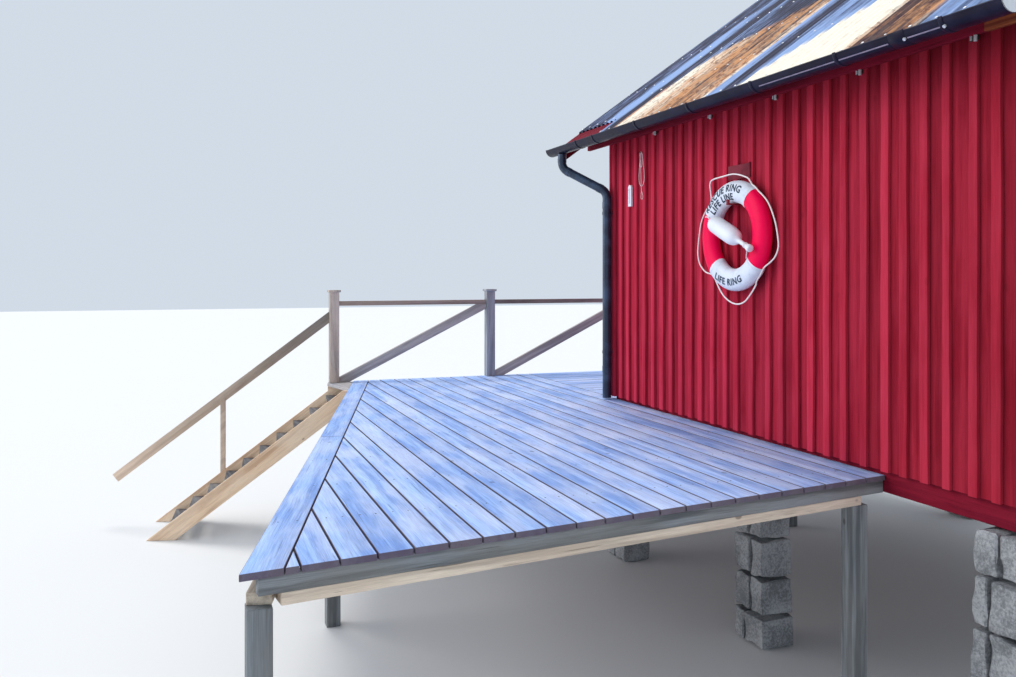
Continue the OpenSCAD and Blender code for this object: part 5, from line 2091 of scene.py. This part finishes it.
@dataclass
class Deck(Assembly):
    """Weathered deck boards, their border and their screws."""

    lake_x: float = -2.05
    side_depth: float = 2.39
    outer: float = math.radians(14.2)
    land: float = math.radians(8.2)
    wall_length: float = 3.24
    border: float = 0.150
    border_joint: float = 1.05
    board: float = 0.142
    pitch: float = 0.150
    shortest: float = 0.12
    thickness: float = 0.028
    gap: float = 0.006
    wall_y: float = 0.038
    edge: float = 0.0035
    unevenness: float = 0.0012
    # Depth below a board's top from which its sides and ends are darkened: painted shade in the gaps, and
    # dirt on the ends.
    rim: float = 0.0005
    far: float = 6.0
    joists: int = 9
    joist_half: float = 0.0425
    last_joist: float = 0.18
    screw_inset: float = 0.035
    screw_margin: float = 0.03
    border_screws: Point2 = (0.035, 0.115)
    screw_radius: float = 0.0045
    screw_height: float = 0.0012
    rows: list[tuple[Point2, Point2]] = field(default_factory=list, init=False)

    def outer_y(self, x: float, inset: float = 0.0) -> float:
        """Gives the outer edge's distance from the wall at x, moved in by an inset."""
        return -self.side_depth - math.tan(self.outer) * x + inset / math.cos(self.outer)

    def outer_x(self, y: float, inset: float) -> float:
        """Gives where a line along the outer edge has the distance y from the wall."""
        return -(y + self.side_depth - inset / math.cos(self.outer)) / math.tan(self.outer)

    def land_x(self, y: float) -> float:
        """Gives the land edge's place at a distance from the wall."""
        return self.wall_length - math.tan(self.land) * y

    def trim(self, low: Point2, high: Point2, inset: float) -> list[Point2]:
        """Cuts a rectangle by a line along the outer edge and by the land edge.

        Args:
            low: Its lake corner away from the wall.
            high: Its land corner at the wall.
            inset: The line's distance from the outer edge.

        Returns:
            The corners of what is left.
        """
        corners = [low, (high[0], low[1]), high, (low[0], high[1])]
        corners = clip(corners, lambda p: p[1] - self.outer_y(p[0], inset))
        return clip(corners, lambda p: self.land_x(p[1]) - p[0])

    def slab(self, shape: Shape, outline: Sequence[Point2], sink: float = 0.0) -> None:
        """Adds one board.

        Args:
            shape: Takes the board.
            outline: Its corners.
            sink: How far its top lies below the deck's.
        """
        low = HOUSE.deck_top - self.thickness
        shape.prism([site(x, y, low) for x, y in outline], Vector((0, 0, self.thickness - sink)))

    def build(self) -> None:
        """Lays the boards beside the wall, at the lake gable and along the outer edge."""
        outward = Vector((math.cos(self.outer), -math.sin(self.outer), 0))
        for shape, seed, axis, name, node in (
            (self.side_boards(), 31, ALONG, "side_deck_boards", "side_deck"),
            (self.lake_boards(), 32, ACROSS, "lake_deck_boards", "lake_deck"),
            (self.border_boards(), 33, outward, "border_boards", "deck_border"),
        ):
            mesh = timber(shape.bevel(self.edge, 2), seed, axis)
            # The sides and ends below each board's top get the dark colour: painted shade in the gaps between
            # boards, and dirt on the ends.
            marks = [0.0] * len(mesh.vertices)
            for part in islands(mesh):
                top = max(mesh.vertices[i].co.z for i in part)
                for i in part:
                    marks[i] = float(mesh.vertices[i].co.z < top - self.rim)
            write_marks(mesh, "grime", marks)
            piece(mesh, name, DECK_BOARD, [node])

    def side_boards(self) -> Shape:
        """Lays the boards along the wall, cut at the border and at the land edge.

        Returns:
            The boards.
        """
        rng = random.Random(21)
        shape = Shape()
        inset = self.border + self.gap
        top = self.wall_y
        while max(self.lake_x, self.outer_x(top, inset)) <= self.land_x(top) - self.shortest:
            corners = self.trim((self.lake_x, top - self.board), (self.far, top), inset)
            if len(corners) >= 3:
                self.slab(shape, corners, rng.uniform(0.0, self.unevenness))
                xs = [x for x, _ in corners]
                self.rows.append(((top - self.board, top), (min(xs), max(xs))))
            top -= self.pitch
        return shape

    def lake_boards(self) -> Shape:
        """Lays the boards beyond the lake gable, square to the others.

        Returns:
            The boards.
        """
        rng = random.Random(22)
        shape = Shape()
        y0, y1 = HOUSE.cladding, HOUSE.width
        x1 = self.wall_y
        while x1 > self.lake_x + 0.02:
            x0 = max(x1 - self.board, self.lake_x)
            self.slab(shape, [(x0, y0), (x1, y0), (x1, y1), (x0, y1)], rng.uniform(0.0, self.unevenness))
            x1 -= self.pitch
        return shape

    def border_boards(self) -> Shape:
        """Lays the border board along the outer edge, in two lengths.

        Returns:
            Both lengths.
        """
        shape = Shape()
        for x0, x1 in ((self.lake_x, self.border_joint - 0.002), (self.border_joint + 0.002, self.far)):
            corners = self.trim((x0, -self.far), (x1, 0.0), 0.0)
            self.slab(shape, clip(corners, lambda p: self.outer_y(p[0], self.border) - p[1]))
        return shape

    def dress(self) -> None:
        """Screws the boards down where they cross the joists."""
        places = []
        margin = self.screw_margin
        first, last = self.lake_x + self.joist_half, self.wall_length - self.last_joist
        joists = [first + i * (last - first) / (self.joists - 1) for i in range(self.joists)]
        for (low, top), (x0, x1) in self.rows:
            for x in (joist for joist in joists if x0 + margin < joist < x1 - margin):
                for y in (low + self.screw_inset, top - self.screw_inset):
                    if y > self.outer_y(x, self.border + margin) and x < self.land_x(y) - margin:
                        places.append(site(x, y, HOUSE.deck_top - self.screw_height / 2))
        for x in joists:
            places += [
                site(x, self.outer_y(x, inset), HOUSE.deck_top - self.screw_height / 3)
                for inset in self.border_screws
            ]
        mesh = head_recipe().run(points_mesh(places), IRON, {
            "Radius": self.screw_radius, "Height": self.screw_height, "Lean": 0.0, "Seed": 9,
        })
        piece(mesh, "deck_screws", IRON, smooth=60, slot=DECK_BOARD.slot)


# Things on the wall


@dataclass
class Lifebuoy(Assembly):
    """Ring with red skin and white bands, its lettering, its float and its grab line."""

    middle: Point3 = (1.982, -0.0543, 2.677)
    ring_radius: float = 0.293
    half_width: float = 0.076
    half_depth: float = 0.054
    fullness: float = 0.985
    squareness: float = 0.92
    swell: float = 0.012
    steps: int = 144
    sides: int = 40
    bands: tuple[Point2, ...] = ((53, 148), (-134, -37))
    ties: tuple[float, ...] = (148.0, 54.5, -43.0, -134.0)
    tie_half: float = 0.012
    tie_thickness: float = 0.0016
    line_diameter: float = 0.010
    route: tuple[Point2, ...] = (
        (147, 7), (139, 13), (134, 54), (130, 106), (125, 113), (111, 65), (92, 39), (72, 23), (65, 10),
        (61, 0), (54.5, 1), (48, 0), (41, 9), (32, 24), (22, 37), (8, 57), (-6, 82), (-13, 87),
        (-20, 69), (-26, 39), (-35, 1), (-43, 1), (-52, 4), (-56, 21), (-67, 46), (-77, 72), (-87, 80),
        (-97, 72), (-108, 54), (-118, 30), (-129, 6), (-134, 2), (-139, 14), (-147, 63), (-156, 97),
        (-163, 105), (-171, 95), (-191, 64), (-201, 48), (-211, 25),
    )
    float_middle: Point3 = (2.060, -0.1436, 2.677)
    float_tilt: float = math.radians(-24.0)
    float_length: float = 0.475
    float_sides: int = 28
    float_profile: tuple[Point2, ...] = (
        (0.0000, 0.000), (0.0004, 0.016), (0.0030, 0.029), (0.0110, 0.043), (0.0220, 0.0515),
        (0.0400, 0.0570), (0.0700, 0.0592), (0.2300, 0.0592), (0.2620, 0.0575), (0.2860, 0.0520),
        (0.3040, 0.0430),
        (0.3180, 0.0310), (0.3290, 0.0210), (0.3420, 0.0168), (0.3600, 0.0150), (0.4080, 0.0146),
        (0.4260, 0.0165), (0.4400, 0.0215), (0.4560, 0.0250), (0.4655, 0.0248), (0.4720, 0.0220),
        (0.4748, 0.0180), (0.4749, 0.0),
    )
    lash_radius: float = 0.0035
    turn_radius: float = 0.0025
    neck_turn: float = 0.0172
    lines: tuple[tuple[str, float, float, float, int], ...] = (
        ("RESCUE RING", 107.0, 0.026, 0.046, 1), ("LIFE LINE", 112.0, -0.032, 0.042, 1),
        ("LIFE RING", -93.0, -0.014, 0.044, -1),
    )

    def at(self, angle: float, radius: float, out: float = 0.0) -> Vector:
        """Gives a point by its angle and distance in the ring's plane, and its distance out of it."""
        x, y, z = self.middle
        return site(x + radius * math.cos(angle), y - out, z + radius * math.sin(angle))

    def build(self) -> None:
        """Makes the grab line, the ring and the float."""
        rim = self.ring_radius + self.half_width + self.line_diameter / 2 + 0.0003
        knots = [self.at(math.radians(angle), rim + lift / 1000) for angle, lift in self.route]
        cord(spline(knots, 8), self.line_diameter, 12, "grab_rope", "grab_line")
        self.ring()
        self.float_body()

    def ring(self) -> None:
        """Makes the ring in red and white lengths that butt."""
        shape = Shape()
        turns = [math.tau * j / self.sides for j in range(self.sides)]
        section = [(self.squared(math.cos(t)), self.squared(math.sin(t))) for t in turns]
        rings = []
        for i in range(self.steps):
            angle = math.tau * i / self.steps
            swell = (1.0 + self.swell * math.sin(5 * angle + 0.6)) / (1.0 + self.swell)
            wide, deep = self.half_width * self.fullness, self.half_depth * self.fullness * swell
            rings.append([self.at(angle, self.ring_radius + a * wide, b * deep) for a, b in section])
        for number, face in enumerate(shape.loft(rings, closed=True)):
            middle = math.degrees(math.tau * (number // self.sides + 0.5) / self.steps)
            white = any(low <= m <= high for low, high in self.bands for m in (middle, middle - 360))
            face.material_index = int(white)
        mesh = shape.mesh()
        for finish in (RING_RED, RING_WHITE):
            mesh.materials.append(finish.material())
        piece(mesh, "ring_skin", RING_RED, ["lifebuoy_ring"], 60)

    def squared(self, share: float) -> float:
        """Moves a round section's share of its half width outwards, for a slightly square section."""
        return math.copysign(abs(share) ** self.squareness, share)

    @property
    def float_axes(self) -> tuple[Vector, Vector, Vector]:
        """Directions along the float, out of the wall, and square to both."""
        along = Vector((math.cos(self.float_tilt), 0, math.sin(self.float_tilt)))
        return along, -ACROSS, Vector((-along.z, 0, along.x))

    def float_body(self) -> None:
        """Turns the bottle-shaped float and lays it over the ring."""
        shape = Shape()
        along, out, up = self.float_axes
        start = site(*self.float_middle) - along * self.float_length / 2
        shape.loft([
            [start + along * s + out * a + up * b for a, b in circle(radius, self.float_sides)]
            for s, radius in self.float_profile
        ])
        piece(shape.mesh(merge=True), "float_bottle", WHITE_PLASTIC, ["lifebuoy_float"], 70)

    def dress(self) -> None:
        """Adds the bands that hold the line, the float's lashings and the lettering."""
        self.tie_bands()
        self.lashings()
        self.lettering()

    def tie_bands(self) -> None:
        """Wraps a narrow band round the ring where the line meets it."""
        shape = Shape()
        wide, thick = self.tie_half, self.tie_thickness / 2
        section = [(-wide, -thick), (wide, -thick), (wide, thick), (-wide, thick)]
        loop = [(a * (self.half_width + 0.001), b * (self.half_depth + 0.0002)) for a, b in circle(1.0, 40)]
        for turn in map(math.radians, self.ties):
            path = [self.at(turn, self.ring_radius + a, b) for a, b in loop]
            shape.sweep(section, path, Vector((-math.sin(turn), 0, math.cos(turn))), closed=True)
        piece(shape, "line_bands", RING_WHITE, smooth=60)

    def lashings(self) -> None:
        """Ties both ends of the float to the ring with short turns of line."""
        shape = Shape()
        along, out, up = self.float_axes
        middle, radius, depth = site(*self.float_middle), self.ring_radius, self.half_depth
        left = middle - along * (self.float_length / 2 + 0.002)
        right = middle + along * (self.float_length / 2 - 0.062)
        hold = self.at(math.radians(150), radius - 0.02, depth * 0.95)
        back = self.at(math.radians(154), radius + 0.03, depth * 0.9)
        drop = self.at(math.radians(-40), radius - self.half_width * 0.72, depth * 0.82)
        tip = right + along * 0.03
        for path in (
            [left + along * 0.01, left - along * 0.02, hold + out * 0.012, back],
            [tip, tip.lerp(drop, 0.3) + out * 0.004, tip.lerp(drop, 0.7) + out * 0.003, drop],
            [left + along * 0.01, left - along * 0.012 - UP * 0.012, hold + out * 0.006 - UP * 0.02],
        ):
            shape.sweep(circle(self.lash_radius, 8), spline(path, 6), ACROSS)
        for shift in (-0.006, 0.0, 0.006):
            turn = [right + along * shift + out * a + up * b for a, b in circle(self.neck_turn, 20)]
            shape.sweep(circle(self.turn_radius, 8), turn, along, closed=True)
        piece(shape, "float_lashings", WHITE_CORD, smooth=60)

    def lettering(self) -> None:
        """Bends plain generic words onto the white bands."""
        shape = Shape()
        for word, angle, shift, height, side in self.lines:
            letters = self.word(word, height)
            for vert in letters.bm.verts:
                across = shift + (vert.co.y - height / 2)
                turn = math.radians(angle) - side * vert.co.x / (self.ring_radius + side * shift)
                share = min(abs(across) / self.half_width / self.fullness, 0.98)
                out = self.half_depth * (1 - share ** (2 / self.squareness)) ** (self.squareness / 2)
                vert.co = self.at(turn, self.ring_radius + side * across, out + 0.0008)
            shape.bm.from_mesh(letters.mesh(merge=True))
        piece(shape, "ring_letters", LETTER_INK, smooth=60)

    @staticmethod
    def word(text: str, height: float) -> Shape:
        """Makes a flat word, cut finely enough to be bent.

        Args:
            text: The word.
            height: Height of its capitals.

        Returns:
            The word in the X-Y plane, over its middle.
        """
        curve = bpy.data.curves.new("letters", "FONT")
        curve.body = text
        curve.size = height / 0.7
        curve.space_character = 1.15
        curve.offset = 0.0018
        curve.align_x = "CENTER"
        holder = put("letters", curve)
        flat = bpy.data.meshes.new_from_object(holder.evaluated_get(bpy.context.evaluated_depsgraph_get()))
        bpy.data.objects.remove(holder)
        letters = Shape()
        letters.bm.from_mesh(flat)
        letters.split_long(0.006)
        return letters


@dataclass
class WallThings(Assembly):
    """Hook, cord hank, thermometer, the small ironware under the eaves and the painted shadows behind it."""

    hank_x: float = 0.590
    nail: float = 3.410
    cord_diameter: float = 0.004
    fold: float = 0.0135
    loop: float = 0.016
    wide: tuple[Point2, ...] = (
        (-0.0142, -0.0175), (-0.0162, -0.030), (-0.0205, -0.046), (-0.0260, -0.066), (-0.0320, -0.095),
        (-0.0380, -0.135), (-0.0430, -0.175), (-0.0440, -0.210), (-0.0360, -0.242), (-0.0200, -0.264),
        (0.0000, -0.272), (0.0200, -0.264), (0.0370, -0.243), (0.0460, -0.213), (0.0450, -0.178),
        (0.0390, -0.140), (0.0310, -0.100), (0.0240, -0.066), (0.0195, -0.046), (0.0160, -0.030),
        (0.0142, -0.0175),
    )
    narrow: tuple[Point2, ...] = (
        (-0.0142, -0.0175), (-0.0156, -0.030), (-0.0174, -0.046), (-0.0184, -0.066), (-0.0184, -0.086),
        (-0.0180, -0.100), (-0.0157, -0.1088), (-0.0093, -0.1152), (-0.0005, -0.1175), (0.0082, -0.1152),
        (0.0147, -0.1088), (0.0170, -0.100), (0.0178, -0.086), (0.0178, -0.066), (0.0170, -0.046),
        (0.0155, -0.030), (0.0142, -0.0175),
    )
    tail: tuple[Point3, ...] = (
        (-0.0132, -0.0175, 0.0141), (-0.0105, -0.029, 0.0142), (-0.0050, -0.046, 0.0142),
        (0.0010, -0.075, 0.0142), (0.0020, -0.119, 0.0143), (0.0020, -0.170, 0.0120),
        (0.0010, -0.230, 0.0100), (0.0010, -0.275, 0.0094), (0.0000, -0.302, 0.0060),
        (-0.0050, -0.326, 0.0045), (-0.0088, -0.344, 0.0045),
    )
    end_middle: Point2 = (0.006, -0.362)
    close: tuple[Point3, ...] = (
        (0.0210, -0.350, 0.0046), (0.0172, -0.336, 0.0056), (0.0105, -0.322, 0.0076),
        (0.0040, -0.308, 0.0098),
    )
    clip_xs: tuple[float, ...] = (0.829, 1.614, 2.353, 3.101, 3.867)
    clip_z: float = 3.547
    buttons: tuple[tuple[float, float, float, tuple[float, ...]], ...] = (
        (0.0085, 0.0, 0.015, (0.004, -0.006, -0.026, -0.030)),
        (0.0055, 0.027, 0.013, (0.003, -0.004, -0.016, -0.020)),
    )
    marks: int = 12
    mark_step: float = 0.009
    mark_half: float = 0.0006
    tube_radius: float = 0.0022
    tube_ends: Point2 = (0.020, 0.030)

    def build(self) -> None:
        """Makes the hank, the hook with the nail, and the thermometer."""
        self.hank()
        hooks = Shape.of_node("wall_hooks").bevel(0.002).mesh(merge=True)
        piece(hooks, "forged_hooks", HOOK_PAINT, ["wall_hooks"])
        self.thermometer()

    def hank(self) -> None:
        """Loops a thin cord over its nail: a wide loop, a narrow one, and a tail down the middle."""
        middle_x, middle_z = self.end_middle
        route = [self.over_nail(turn, 0.0045) for turn in (90, 120, 150, 180)]
        route += [(x, z, 0.0045) for x, z in self.wide]
        route += [self.over_nail(30 * i, 0.0086 + 0.0002 * i) for i in range(7)]
        route += [(x, z, 0.0095) for x, z in self.narrow]
        route += [self.over_nail(30 * i, 0.0134 + 0.0001 * i) for i in range(7)]
        route += self.tail
        route += [(middle_x + x, middle_z + z, 0.0045) for x, z in arc(self.loop, 180.0, 360.0, 6)]
        route += self.close
        knots = [site(self.hank_x + x, -out, self.nail + z) for x, z, out in route]
        cord(spline(knots, 6), self.cord_diameter, 8, "tied_cord", "cord_hank")

    def over_nail(self, turn: float, out: float) -> Point3:
        """Gives a point of the cord's fold over its nail.

        Args:
            turn: Angle round the fold in degrees, 90 at its top.
            out: Distance from the wall.

        Returns:
            Distances along the wall and up from the nail, and out of the wall.
        """
        angle = math.radians(turn)
        return self.fold * math.cos(angle), 0.0056 - self.fold + self.fold * math.sin(angle), out

    def thermometer(self) -> None:
        """Makes a round-headed plate with a glass tube and its marks."""
        low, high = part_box("thermometer")
        plate = Shape.of_node("thermometer").bevel(0.003).mesh(merge=True)
        piece(plate, "thermometer_plate", WHITE_PLASTIC, ["thermometer"])
        middle = (low.x + high.x) / 2
        foot, head = self.tube_ends
        marks = Shape()
        tube = [Vector((middle, low.y - 0.001, z)) for z in (low.z + foot, high.z - head)]
        marks.sweep(circle(self.tube_radius, 12), tube, ALONG)
        thick = self.mark_half
        for i in range(self.marks):
            z = low.z + 0.030 + i * self.mark_step
            half = 0.012 if i % 4 == 0 else 0.008
            corner = Vector((middle - half, low.y - thick, z - thick))
            marks.box(corner, corner + Vector((2 * half, thick, 2 * thick)))
        piece(marks, "thermometer_marks", MARK_INK, smooth=60)

    def dress(self) -> None:
        """Adds the clips under the eaves plate, each with a dark block behind it as painted shadow, and the
        rusty plate over the lifebuoy, in part a painted shadow.
        """
        bright, dark, plate = Shape(), Shape(), Shape()
        z = self.clip_z
        for x in self.clip_xs:
            for radius, shift, out, line in self.buttons:
                points = [site(x - shift, -out, z + h) for h in line]
                bright.sweep(circle(radius, 12), points, ALONG)
            # The dark iron block behind each clip is a painted shadow.
            dark.box(site(x - 0.040, -0.010, z - 0.024), site(x + 0.012, -0.002, z + 0.002))
        piece(bright.bevel(0.002), "eaves_clips", ZINC, smooth=60)
        piece(dark.bevel(0.002), "clip_shadow_blocks", IRON)
        # The rusty plate over the ring is in part a painted shadow, standing where the wall is dark.
        plate.box(site(1.815, -0.003, 3.062), site(2.075, 0.001, 3.158))
        plate.box(site(2.069, -0.012, 3.060), site(2.075, 0.001, 3.162))
        piece(plate.bevel(0.0012), "rusty_plate_and_shadow", RUSTY_IRON)


def main() -> None:
    """Builds the studio and every part."""
    logging.basicConfig(level=logging.INFO, format="%(message)s")
    Studio().build()
    parts: list[Assembly] = [
        Lifebuoy(), WallThings(), Cladding(), GableDoor(), RoofBoards(), RoofSheets(), RidgeCap(),
        Gutters(), Downpipes(), Deck(), DressedTimbers(), Piers(),
    ]
    for part in parts:
        part.build()
        part.dress()
        log.info("finished %s", type(part).__name__)


if __name__ == "__main__":
    main()
